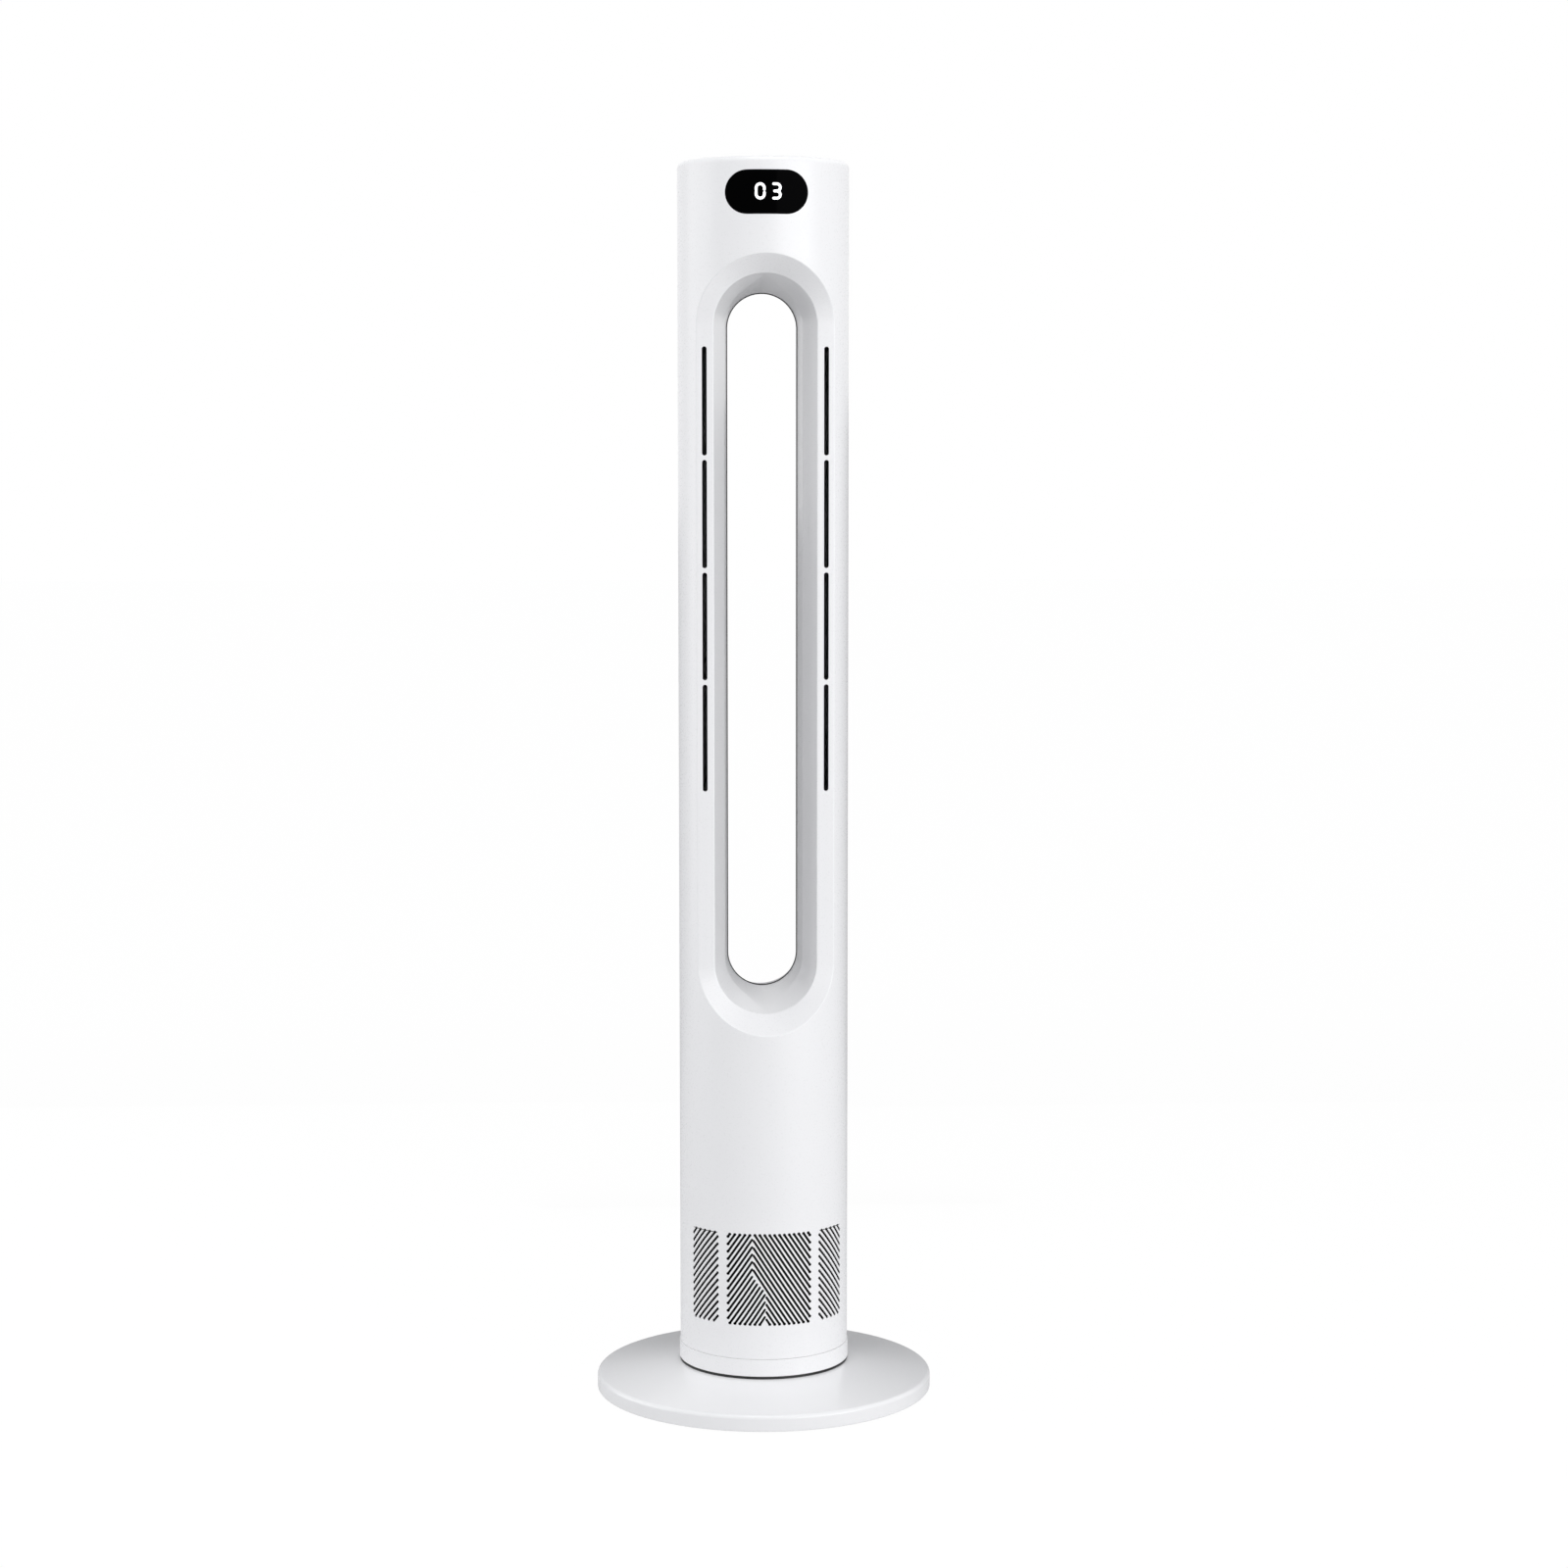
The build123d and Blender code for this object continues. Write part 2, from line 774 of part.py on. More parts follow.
def make_motor_case():
    """Cup of the motor with the seat of its upper bearing."""
    case = tube(motor_radius, motor_radius - case_wall, lid_top, motor_high)
    case += tube(motor_radius, bearing_outer, motor_high - case_wall, motor_high)
    upper_seat = motor_high - case_wall - bearing_height
    return case + tube(bearing_grip, bearing_outer, upper_seat, motor_high - case_wall)


def make_motor_lid():
    """Lower end of the motor with the seat of its lower bearing."""
    lid = tube(motor_radius, bearing_outer, motor_low, lid_top)
    return lid + tube(bearing_grip, bearing_outer, motor_low, motor_low + 6.5)


def make_bearings():
    """The two ball bearings of the shaft, as plain rings."""
    bore = shaft_radius + 0.04
    lower = motor_low + 0.1
    upper = motor_high - case_wall - bearing_height + 0.2
    return group(
        [
            tube(bearing_outer, bore, lower, lower + bearing_height),
            tube(bearing_outer, bore, upper, motor_high - case_wall),
        ]
    )


def make_stator():
    """Laminated core: an outer ring with inward teeth."""
    ring_inside, tooth_half_width = 22.5, 2
    outside = motor_radius - case_wall
    core = tube(outside, ring_inside, stator_low, stator_high)
    tooth = block(
        stator_bore, ring_inside + 0.5, -tooth_half_width, tooth_half_width, stator_low, stator_high
    )
    for i in range(tooth_count):
        core += Rot(0, 0, 360 * i / tooth_count) * tooth
    return core & tube(outside, stator_bore, stator_low, stator_high)


def make_windings():
    """One coil round each tooth of the core."""
    overhang, half_width, near, far = 2, 5, 17.4, 21.8
    coil = block(near, far, -half_width, half_width, stator_low - overhang, stator_high + overhang)
    coil -= block(near - 0.4, far + 0.2, -2.1, 2.1, stator_low - 0.1, stator_high + 0.1)
    return group(Rot(0, 0, 360 * i / tooth_count) * coil for i in range(tooth_count))


def make_rotor():
    return tube(stator_bore - 0.6, shaft_radius, stator_low - 1, stator_high + 1)


def make_shaft():
    return tube(shaft_radius, 0, impeller_low - 6, motor_high + 1)


def make_impeller_nut():
    """Six-sided nut under the impeller's hub."""
    nut_radius, nut_height = 7, 5
    nut = extrude(Pos(0, 0, impeller_low - 1) * RegularPolygon(nut_radius, 6), nut_height)
    return nut - tube(shaft_radius, 0, impeller_low - 2, impeller_low + nut_height)


# ---- shells ----
boss_heights = (110.0, 300.0, 480.0, 660.0, 840.0, 1010.0)
boss_x = 66.0
boss_radius = 4.5
boss_front_y = 4.0
boss_rear_y = 42.0
boss_places = [(side * boss_x, z) for side in (-1, 1) for z in boss_heights]
panel_seat = height - 4.0
panel_hole = 69.2
shell_inner = column_radius - wall
liner_wall = 2.2
liner_collar = 3.2
liner_front_y = ring_depth_y + wall + 0.2
lip_width = 4.0
around_column = column_radius + 5


def column_skin():
    """Thin round wall with the rounded top rim and the ledge for the top panel."""
    ledge_inner, ledge_thickness = 65, 2.5
    profile = Polygon(
        (column_radius, shell_bottom),
        (column_radius, height),
        (panel_hole, height),
        (panel_hole, panel_seat),
        (ledge_inner, panel_seat),
        (ledge_inner, panel_seat - ledge_thickness),
        (shell_inner, panel_seat - ledge_thickness),
        (shell_inner, shell_bottom),
        align=None,
    )
    corner = profile.vertices().sort_by(Axis.X)[-2:].sort_by(Axis.Y)[-1]
    return revolve(Plane.XZ * fillet(corner, rim_round), axis=Axis.Z)


def lying_post(x, z, radius, y0, y1):
    """Round post along Y."""
    return Pos(x, 0, z) * Rot(-90, 0, 0) * tube(radius, 0, y0, y1)


def bosses(y0, y1):
    """Screw bosses along both sides, webbed to the wall."""
    web_half_height, into_wall = 1.2, 1.0
    fused = None
    for x, z in boss_places:
        web = block(boss_x, 74, y0, y1, z - web_half_height, z + web_half_height)
        one = lying_post(x, z, boss_radius, y0, y1) + (web if x > 0 else web.mirror(Plane.YZ))
        fused = one if fused is None else fused + one
    return fused & tube(shell_inner + into_wall, 0, 0, height)


def slot_places():
    """Heights of the middles of the air slots on one side."""
    return [slot_low + slot_length / 2 + i * slot_pitch for i in range(slots_a_side)]


def display_plug(grow, y0=-80, y1=-50):
    """Plug of the display window's outline, along Y."""
    flat = SlotOverall(display_width + 2 * grow, display_height + 2 * grow)
    face = Plane(origin=(0, y1, display_z), x_dir=(1, 0, 0), z_dir=(0, -1, 0)) * flat
    return extrude(face, y1 - y0)


def cut_grille(shell, front):
    """Shell with its slits, whose wall is parted into bands above and below the grille."""
    margin = 6.0
    reach = around_column
    heights = (0, grille_low - margin, grille_high + margin, height)
    with SkipClean():
        banded = None
        for low, high in zip(heights, heights[1:]):
            band = shell & block(-reach, reach, -reach, reach, low, high)
            banded = band if banded is None else banded + band
        return banded - grille_cutters(front)


def make_front_shell():
    """Front half of the column with its recessed ring, slots, window and grille."""
    pocket_low, pocket_high = 100, 1070
    window_gap = 0.15
    outer = tube(column_radius, 0, pocket_low, pocket_high)
    lining = (ring_pocket(wall) & outer) - ring_pocket(0)
    shell = (column_skin() - ring_pocket(0)) + lining
    shell += bosses(boss_front_y, split_y)
    shell -= oval_prism(ring_inner, ring_depth_y - 14, ring_depth_y + 16)
    for side in (-1, 1):
        for z in slot_places():
            flat = Rot(0, 0, 90) * SlotOverall(slot_length, slot_width)
            face = Plane(origin=(side * slot_x, -38, z), x_dir=(1, 0, 0), z_dir=(0, -1, 0)) * flat
            shell -= extrude(face, 12)
    shell -= display_plug(window_gap)
    reach = around_column
    shell = shell & block(-reach, reach, -reach, split_y, 0, height)
    for x, z in boss_places:
        shell -= lying_post(x, z, screw_radius, boss_front_y + 4, split_y + 8)
    return cut_grille(shell, True)


def make_rear_shell():
    """Rear half of the column with its tunnel hole, screw wells and grille."""
    well, well_start = 3.2, 30
    start = split_y + gap
    reach = around_column
    shell = column_skin() + bosses(start, boss_rear_y)
    shell -= oval_prism(flare + wall + gap, throat_y, flare_y)
    shell = shell & block(-reach, reach, start, reach, 0, height)
    for x, z in boss_places:
        shell -= lying_post(x, z, screw_pass, start - 1, boss_rear_y + 20)
        shell -= lying_post(x, z, well, well_start, boss_rear_y + 20)
    return cut_grille(shell, False)


def make_shell_screws():
    """Screws from behind, with their heads deep in the wells."""
    tip, seat, head_top, head_radius = 9, 30, 32, 2.9
    solids = []
    for x, z in boss_places:
        shank = lying_post(x, z, screw_shank, tip, seat)
        solids.append(shank + lying_post(x, z, head_radius, seat, head_top))
    return group(solids)


def make_dust_filter():
    """Thin black mesh sleeves close behind the front and the rear grille."""
    outer = shell_inner - 0.9
    inner = outer - 0.8
    low, high = grille_low - 7.5, inlet_ring_low - 2
    front_edge, rear_edge = 2, split_y + 1
    sleeve = tube(outer, inner, low, high)
    front = sleeve & block(-outer, outer, -outer, front_edge, low, high)
    rear = sleeve & block(-outer, outer, rear_edge, outer, low, high)
    notch_x, notch_half_height = boss_x - 6, boss_radius + 1.5
    for side in (-1, 1):
        x0, x1 = sorted((side * notch_x, side * (outer + 1)))
        z = boss_heights[0]
        rear -= block(x0, x1, rear_edge - 1, boss_rear_y, z - notch_half_height, z + notch_half_height)
    return group([front, rear])


def funnel(grow):
    """Plug of the front tunnel: it narrows quickly to the crease, then slowly to the throat."""
    front = oval_loft(ring_inner + grow, liner_front_y, crease + grow, crease_y)
    return front + oval_loft(crease + grow, crease_y, throat + grow, throat_y)


def make_tunnel_liner():
    """Smooth oval front tunnel from the ring to the throat."""
    collar = oval_prism(ring_inner + liner_collar, liner_front_y, liner_front_y + liner_wall)
    return funnel(liner_wall) + collar - funnel(0)


def make_tunnel_seal():
    """Thin dark gasket between the two tunnels, standing a little into the opening."""
    back = throat_y + seal_thickness
    return oval_prism(throat + liner_wall, throat_y, back) - oval_prism(seal_inner, throat_y, back)


def make_rear_tunnel():
    """Flared tunnel behind the throat; its edge lies flush in the rear shell, over a lip."""
    low, high = 100, 1070
    front = throat_y + seal_thickness
    inside = oval_loft(throat, front, flare, flare_y)
    outside = oval_loft(throat + wall, front, flare + wall, flare_y)
    tunnel = outside & tube(column_radius, 0, low, high)
    lip = oval_prism(flare + wall + lip_width, throat_y, flare_y)
    lip = lip & tube(shell_inner, shell_inner - liner_wall, low, high)
    return tunnel + lip - inside


def make_nozzle(side):
    """Channel behind the air slots of one side that squares the flow to the front."""
    over_end = 4
    near, far = 48.6, 57.0
    front_y, back_y = ring_depth_y + 4.1, -24
    half_slot = slot_width / 2 + 0.2
    low = slot_low - over_end
    high = slot_low + slot_pitch * (slots_a_side - 1) + slot_length + over_end
    x0, x1 = sorted((side * near, side * far))
    x = side * slot_x
    nozzle = block(x0, x1, front_y, back_y, low, high)
    for z in slot_places():
        half = slot_length / 2
        nozzle -= block(x - half_slot, x + half_slot, front_y - 1, back_y + 1, z - half, z + half)
    return nozzle


# ---- display, keys and top ----
window_low = display_z - 29.4
window_high = display_z + 30.6
digit_front = column_radius - 0.25
digit_depth = 0.75


def make_display_lens():
    """Smoked window in the shell's hole, with a flange behind it and pockets for the digits."""
    flange_overlap, flange_depth, slack = 2.5, 1.8, 0.08
    front = tube(lens_outer, lens_flange_radius, window_low, window_high) & display_plug(0)
    back = tube(lens_flange_radius, lens_flange_radius - flange_depth, window_low, window_high)
    lens = front + (back & display_plug(flange_overlap))
    for shape in digit_shapes(slack):
        lens -= shape
    return lens


def half_ring(x, z, radius, width, turn):
    """Half of a flat ring about a place; at no turn it lies on the right."""
    outer, inner = radius + width / 2, radius - width / 2
    ring = Circle(outer) - Circle(inner)
    right_half = Pos(outer, 0) * Rectangle(2 * outer, 4 * outer)
    return Pos(x, z) * Rot(0, 0, turn) * (ring & right_half)


def bar(x0, z0, x1, z1, width):
    """Round-ended flat bar between two places."""
    length = hypot(x1 - x0, z1 - z0)
    angle = degrees(asin((z1 - z0) / length))
    middle = Pos((x0 + x1) / 2, (z0 + z1) / 2)
    return middle * Rot(0, 0, angle) * SlotCenterToCenter(length, width)


def nought_face(width):
    """Two facing arches whose legs all but meet half way up."""
    radius = (nought_width - digit_stroke) / 2
    x = nought_left + nought_width / 2
    z = (digit_height - nought_width) / 2
    tip = digit_stroke / 2
    leg_end = tip - 0.2
    face = half_ring(x, z, radius, width, 90) + half_ring(x, -z, radius, width, -90)
    for side in (-1, 1):
        start = leg_end if side < 0 else leg_end + 0.4
        face += bar(x + side * radius, start, x + side * radius, z, width)
        face += bar(x + side * radius, -z, x + side * radius, -start, width)
    return face


def three_face(width):
    """Three bars joined by two round lobes at the right."""
    radius = (digit_height - digit_stroke) / 4
    x = three_left + three_width - digit_stroke / 2 - radius
    start = three_left + digit_stroke / 2
    face = half_ring(x, radius, radius, width, 0) + half_ring(x, -radius, radius, width, 0)
    for z, inset in ((2 * radius, 0), (0, 0.8), (-2 * radius, 0)):
        face += bar(start + inset, z, x, z, width)
    return face


def digit_shapes(grow):
    """The two shown digits, nought and three, let into the lens."""
    band = tube(digit_front + grow, digit_front - digit_depth - grow, window_low, window_high)
    shapes = []
    for face in (nought_face(digit_stroke + 2 * grow), three_face(digit_stroke + 2 * grow)):
        plane = Plane(origin=(0, 0, display_z), x_dir=(1, 0, 0), z_dir=(0, -1, 0))
        shapes.append(extrude(plane * face, column_radius + 5) & band)
    return shapes


def make_digits():
    return group(digit_shapes(0))


def make_lens_seal():
    """Rubber seal between the shell and the lens flange."""
    seal = tube(shell_inner - 0.05, lens_flange_radius + 0.05, window_low, window_high)
    return seal & (display_plug(2.4) - display_plug(0.4, -90, -45))


module_front_y = -66.5
module_back_y = -58.0


def make_display_module():
    """Light box of the digits behind the lens."""
    half_width, half_height = 17, 11
    return block(
        -half_width, half_width, module_front_y, module_back_y,
        display_z - half_height, display_z + half_height,
    )


def make_display_board():
    """Circuit board behind the light box."""
    half_width, half_height, front_y = 28, 14, module_back_y + 0.1
    return block(
        -half_width, half_width, front_y, front_y + 1.6,
        display_z - half_height, display_z + half_height,
    )


def make_receiver():
    """Infrared receiver eye beside the digits."""
    x, eye_radius, half_width, half_height = 24, 2.5, 3, 4
    eye = Pos(x, module_back_y - 4, display_z) * Rot(90, 0, 0) * Cylinder(eye_radius, 4)
    foot = block(
        x - half_width, x + half_width, module_back_y - 2, module_back_y,
        display_z - half_height, display_z + half_height,
    )
    return eye + foot


panel_low = panel_seat + 0.1
panel_top = height - 1.0
panel_posts_low = height - 16.0
panel_post_places = around(4, 56, 20)
control_board_low = panel_posts_low - 1.7
control_board_top = control_board_low + 1.6
key_top = height - 0.3
key_flange_low = 1083.4
key_flange_top = 1085.2
key_stem_low = 1080.6


def make_top_panel():
    """Sunk disc with the key holes and the posts of the control board."""
    panel = tube(panel_hole - gap, 0, panel_low, panel_top)
    for x in key_places:
        panel -= post(x, key_y, key_radius + gap, panel_low - 1, panel_top + 1)
    for x, y in panel_post_places:
        panel += post(x, y, post_radius, panel_posts_low, panel_low)
        panel -= post(x, y, screw_radius, panel_posts_low - 1, panel_low - 2)
    return panel


def make_key(x):
    """Round push key with a flange that the panel holds and a stem to its switch."""
    stem_radius, flange_overlap = 2, 1.1
    key = post(x, key_y, key_radius, key_flange_low, key_top)
    key += post(x, key_y, key_radius + flange_overlap, key_flange_low, key_flange_top)
    return key + post(x, key_y, stem_radius, key_stem_low, key_flange_low)


def make_control_board():
    """Board under the keys, cut off straight in front of them."""
    board_radius, front_y = 61, -46
    board = tube(board_radius, 0, control_board_low, control_board_top)
    board = board & block(
        -board_radius, board_radius, front_y, board_radius, control_board_low, control_board_top
    )
    for x, y in panel_post_places:
        board -= post(x, y, screw_pass, control_board_low - 1, control_board_top + 1)
    return board


def make_board_screws():
    tip = panel_posts_low + 9
    return group(screw(x, y, control_board_low, tip) for x, y in panel_post_places)


def make_switches():
    """One push switch under each key."""
    half, case_height, plunger_radius = 3, 4.3, 1.7
    case_top = control_board_top + case_height
    plunger_top = key_stem_low - 0.9
    solids = []
    for x in key_places:
        case = block(x - half, x + half, key_y - half, key_y + half, control_board_top, case_top)
        solids.append(case + post(x, key_y, plunger_radius, case_top, plunger_top))
    return group(solids)


def make_all():
    """Write every piece of the fan, from the base up."""
    save(make_base_cover(), "base_cover")
    save(make_weight_plate(), "weight_plate")
    save(make_bottom_cover(), "base_bottom_cover")
    save(make_base_feet(), "rubber_feet")
    save(make_base_screws(), "base_screws")
    save(make_spindle(), "swivel_spindle")
    save(make_spindle_screws(), "spindle_screws")
    save(tube(washer_outer, washer_inner, well_floor, washer_top), "thrust_washer")
    save(make_spindle_clip(), "spindle_clip")
    save(make_swivel_gear(), "swivel_gear")
    save(make_inlet_core(), "power_inlet")
    save(make_inlet_pins(), "inlet_pins")
    save(make_mains_lead(), "mains_lead")
    save(make_turning_ring(), "turning_ring")
    save(make_foot(), "column_foot")
    save(make_motor_bracket(), "motor_bracket")
    save(make_swivel_motor(), "swivel_motor")
    save(make_pinion(), "swivel_pinion")
    save(make_power_board(), "power_board")
    save(make_board_posts(), "board_spacers")
    save(make_board_parts(), "power_board_parts")
    save(make_post_screws(), "chassis_screws")
    save(make_inlet_ring(), "inlet_ring")
    save(make_fan_housing(), "fan_housing")
    save(make_damper_sleeves(), "damper_sleeves")
    save(make_dampers(), "housing_dampers")
    save(make_damper_screws(), "damper_screws")
    save(make_impeller(), "impeller")
    save(make_diffuser(), "diffuser")
    save(make_motor_case(), "motor_case")
    save(make_motor_lid(), "motor_lid")
    save(make_bearings(), "motor_bearings")
    save(make_stator(), "motor_stator")
    save(make_windings(), "motor_windings")
    save(make_rotor(), "motor_rotor")
    save(make_shaft(), "motor_shaft")
    save(make_impeller_nut(), "impeller_nut")
    save(make_front_shell(), "front_shell")
    save(make_rear_shell(), "rear_shell")
    save(make_shell_screws(), "shell_screws")
    save(make_dust_filter(), "dust_filter")
    save(make_tunnel_liner(), "tunnel_liner")
    save(make_tunnel_seal(), "tunnel_seal")
    save(make_rear_tunnel(), "rear_tunnel")
    save(make_nozzle(-1), "left_nozzle")
    save(make_nozzle(1), "right_nozzle")
    save(make_display_lens(), "display_lens")
    save(make_digits(), "display_digits")
    save(make_lens_seal(), "lens_seal")
    save(make_display_module(), "display_module")
    save(make_display_board(), "display_board")
    save(make_receiver(), "remote_receiver")
    save(make_top_panel(), "top_panel")
    for name, x in zip(("power_key", "speed_key", "swing_key", "timer_key"), key_places):
        save(make_key(x), name)
    save(make_control_board(), "control_board")
    save(make_board_screws(), "control_board_screws")
    save(make_switches(), "key_switches")


make_all()
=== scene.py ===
import math

import bpy
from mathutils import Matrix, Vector


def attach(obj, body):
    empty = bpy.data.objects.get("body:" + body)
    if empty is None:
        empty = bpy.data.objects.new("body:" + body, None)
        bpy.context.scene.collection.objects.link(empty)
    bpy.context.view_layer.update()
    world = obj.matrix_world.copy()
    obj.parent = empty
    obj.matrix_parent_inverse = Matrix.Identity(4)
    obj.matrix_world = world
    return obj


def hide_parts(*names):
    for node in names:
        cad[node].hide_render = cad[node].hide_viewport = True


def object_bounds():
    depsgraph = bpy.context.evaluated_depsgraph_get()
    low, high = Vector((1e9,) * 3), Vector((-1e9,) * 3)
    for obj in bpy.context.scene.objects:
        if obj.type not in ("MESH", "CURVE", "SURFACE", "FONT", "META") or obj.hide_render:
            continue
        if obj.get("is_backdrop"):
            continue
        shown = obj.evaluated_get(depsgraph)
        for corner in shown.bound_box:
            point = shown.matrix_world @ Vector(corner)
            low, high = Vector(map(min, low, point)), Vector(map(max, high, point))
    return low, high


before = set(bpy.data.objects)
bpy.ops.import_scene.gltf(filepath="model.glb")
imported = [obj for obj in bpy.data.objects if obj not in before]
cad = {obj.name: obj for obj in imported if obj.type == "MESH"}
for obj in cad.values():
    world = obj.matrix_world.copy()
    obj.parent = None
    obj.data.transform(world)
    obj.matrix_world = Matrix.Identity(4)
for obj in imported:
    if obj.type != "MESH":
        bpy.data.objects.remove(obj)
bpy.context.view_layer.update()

mm = 0.001


# ---- Base disc ----
# A flat white disc of injection moulded ABS whose top rises as a shallow cone to the
# middle, where a well takes the turning foot. Polished mould, so the rounded rim shines.
def mode(name):
    """Go to object mode or edit mode."""
    bpy.ops.object.mode_set(mode=name)


def only(piece):
    """Leave edit mode and have just this piece selected."""
    if bpy.context.mode != "OBJECT":
        mode("OBJECT")
    bpy.ops.object.select_all(action="DESELECT")
    piece.select_set(True)
    bpy.context.view_layer.objects.active = piece


def edit(piece, select="SELECT"):
    """Go into edit mode on one piece with everything or nothing selected."""
    only(piece)
    mode("EDIT")
    bpy.ops.mesh.select_all(action=select)


def outline(name, points, filled=False):
    """Closed line, or flat face, through (x, y, z) points in millimetres."""
    bpy.ops.object.select_all(action="DESELECT")
    bpy.ops.mesh.primitive_circle_add(
        vertices=len(points), fill_type="NGON" if filled else "NOTHING"
    )
    piece = bpy.context.object
    piece.name = name
    for vertex, point in zip(piece.data.vertices, points):
        vertex.co = Vector(point) * mm
    return piece


def oblong(left, right, low, high):
    """Corners of an upright oblong."""
    return [(left, low), (right, low), (right, high), (left, high)]


def rounded(corners):
    """Closed outline of 2-D corners; a corner with a third number is rounded to that radius."""
    parts = 6
    line = []
    for i, corner in enumerate(corners):
        here = Vector(corner[:2])
        if len(corner) == 2:
            line.append(here)
            continue
        back = (Vector(corners[i - 1][:2]) - here).normalized()
        on = (Vector(corners[(i + 1) % len(corners)][:2]) - here).normalized()
        half = back.angle(on) / 2
        centre = here + (back + on).normalized() * corner[2] / math.sin(half)
        reach = corner[2] / math.tan(half)
        first = (here + back * reach - centre).normalized()
        last = (here + on * reach - centre).normalized()
        line += [centre + first.slerp(last, k / parts) * corner[2] for k in range(parts + 1)]
    return line


def tidy_normals(piece):
    """Join doubled points, drop loose edges and make every face look outwards."""
    micrometre = 0.001
    edit(piece)
    bpy.ops.mesh.remove_doubles(threshold=micrometre * mm)
    bpy.ops.mesh.delete_loose()
    bpy.ops.mesh.select_all(action="SELECT")
    bpy.ops.mesh.normals_make_consistent(inside=False)
    only(piece)


def lathe(name, corners, steps=256, centre=(0, 0)):
    """Turn a closed (radius, height) outline once round an upright axis."""
    x, y = centre
    piece = outline(name, [(x + r, y, z) for r, z in rounded(corners)])
    edit(piece)
    bpy.ops.mesh.spin(
        steps=steps, angle=math.tau, center=(x * mm, y * mm, 0), axis=(0, 0, 1)
    )
    tidy_normals(piece)
    return piece


def prism(name, points, front, back):
    """Straight bar along Y with a closed (x, z) outline."""
    piece = outline(name, [(x, front, z) for x, z in points], filled=True)
    edit(piece)
    bpy.ops.mesh.extrude_region_move(
        TRANSFORM_OT_translate={"value": (0, (back - front) * mm, 0)}
    )
    tidy_normals(piece)
    return piece


def circle(x, z, radius, parts=32, start=0.0, sweep=360.0):
    """Points of a circle, or of an arc with both its ends."""
    count = parts if sweep == 360.0 else parts + 1
    angles = [math.radians(start + sweep * k / parts) for k in range(count)]
    return [(x + radius * math.cos(a), z + radius * math.sin(a)) for a in angles]


def carve(piece, tool, operation="DIFFERENCE"):
    """Cut one piece by another, or join it on, and throw the tool away."""
    only(piece)
    cut = piece.modifiers.new("cut", "BOOLEAN")
    cut.operation = operation
    cut.solver = "EXACT"
    cut.object = tool
    bpy.ops.object.modifier_apply(modifier=cut.name)
    bpy.data.objects.remove(tool)


def join(piece, others):
    """Make several pieces one object."""
    only(piece)
    for other in others:
        other.select_set(True)
    bpy.ops.object.join()
    return piece


def smooth(piece, angle=32):
    """Smooth shading that keeps real edges crisp and long flat faces flat."""
    only(piece)
    bpy.ops.object.shade_smooth_by_angle(angle=math.radians(angle))
    weights = piece.modifiers.new("flat faces first", "WEIGHTED_NORMAL")
    weights.keep_sharp = True
    bpy.ops.object.modifier_apply(modifier=weights.name)


def linear(colour):
    """An sRGB hex colour as the linear colour the renderer works in."""
    parts = [int(colour[i:i + 2], 16) / 255 for i in (1, 3, 5)]
    return [c / 12.92 if c <= 0.04045 else ((c + 0.055) / 1.055) ** 2.4 for c in parts] + [1.0]


def add(material, kind, settings=None, links=None):
    """Add a node: its settings by name or socket, and its inputs joined to (node, output)."""
    made = material.node_tree.nodes.new("ShaderNode" + kind)
    for key, value in (settings or {}).items():
        if isinstance(key, int) or key in made.inputs:
            made.inputs[key].default_value = value
        else:
            setattr(made, key, value)
    for key, (source, output) in (links or {}).items():
        material.node_tree.links.new(source.outputs[output], made.inputs[key])
    return made


def blank(name):
    """New empty material and the object's own coordinates in it."""
    material = bpy.data.materials.new(name)
    material.use_nodes = True
    material.node_tree.nodes.clear()
    return material, (add(material, "TexCoord"), "Object")


def between(dark, light):
    """Settings of a node that mixes two hex colours."""
    return {"data_type": "RGBA", 6: linear(dark), 7: linear(light)}


def varied(value, share):
    """Settings of a node that turns noise into a value give or take a share of it."""
    least, most = value * (1 - share), value * (1 + share)
    return {"From Min": 0.3, "From Max": 0.7, "To Min": least, "To Max": most}


def moulded(name, light, dark, roughness, grain, depth, **surface):
    """Moulded plastic or rubber: fine grain left by the mould and slow changes of tone.

    The mould's grain, its depth and the size of the changes are in millimetres.
    """
    mottle = 70.0
    material, place = blank(name)
    slow = add(
        material, "TexNoise", {"Scale": 1000 / mottle, "Detail": 3.0, "Roughness": 0.5},
        {"Vector": place},
    )
    tone = add(material, "Mix", between(dark, light), {0: (slow, "Fac")})
    fine = add(
        material, "TexNoise", {"Scale": 1000 / grain, "Detail": 2.0, "Roughness": 0.6},
        {"Vector": place},
    )
    polish = add(material, "MapRange", varied(roughness, 0.15), {"Value": (fine, "Fac")})
    bump = add(
        material, "Bump", {"Strength": 1.0, "Distance": depth * mm}, {"Height": (fine, "Fac")}
    )
    shader = add(
        material, "BsdfPrincipled", {"IOR": 1.53, **surface},
        {"Base Color": (tone, 2), "Roughness": (polish, 0), "Normal": (bump, 0)},
    )
    add(material, "OutputMaterial", {}, {"Surface": (shader, 0)})
    return material


def paint(piece, material):
    """One finish all over a piece."""
    piece.data.materials.clear()
    piece.data.materials.append(material)


# ABS, moulded in a polished tool: a clean cool white with a soft gloss. Its mould grain is
# far finer than the picture, so it is drawn at 1.4 mm and very shallow, as a hint of satin.
white_abs = moulded(
    "ABS white moulded satin gloss",
    "#f8f8f9", "#f5f5f6", 0.30, 1.4, 0.002, **{"Specular IOR Level": 0.4}
)
base_abs = moulded("ABS white moulded base", "#f8f8f9", "#f5f5f6", 0.22, 1.4, 0.002)

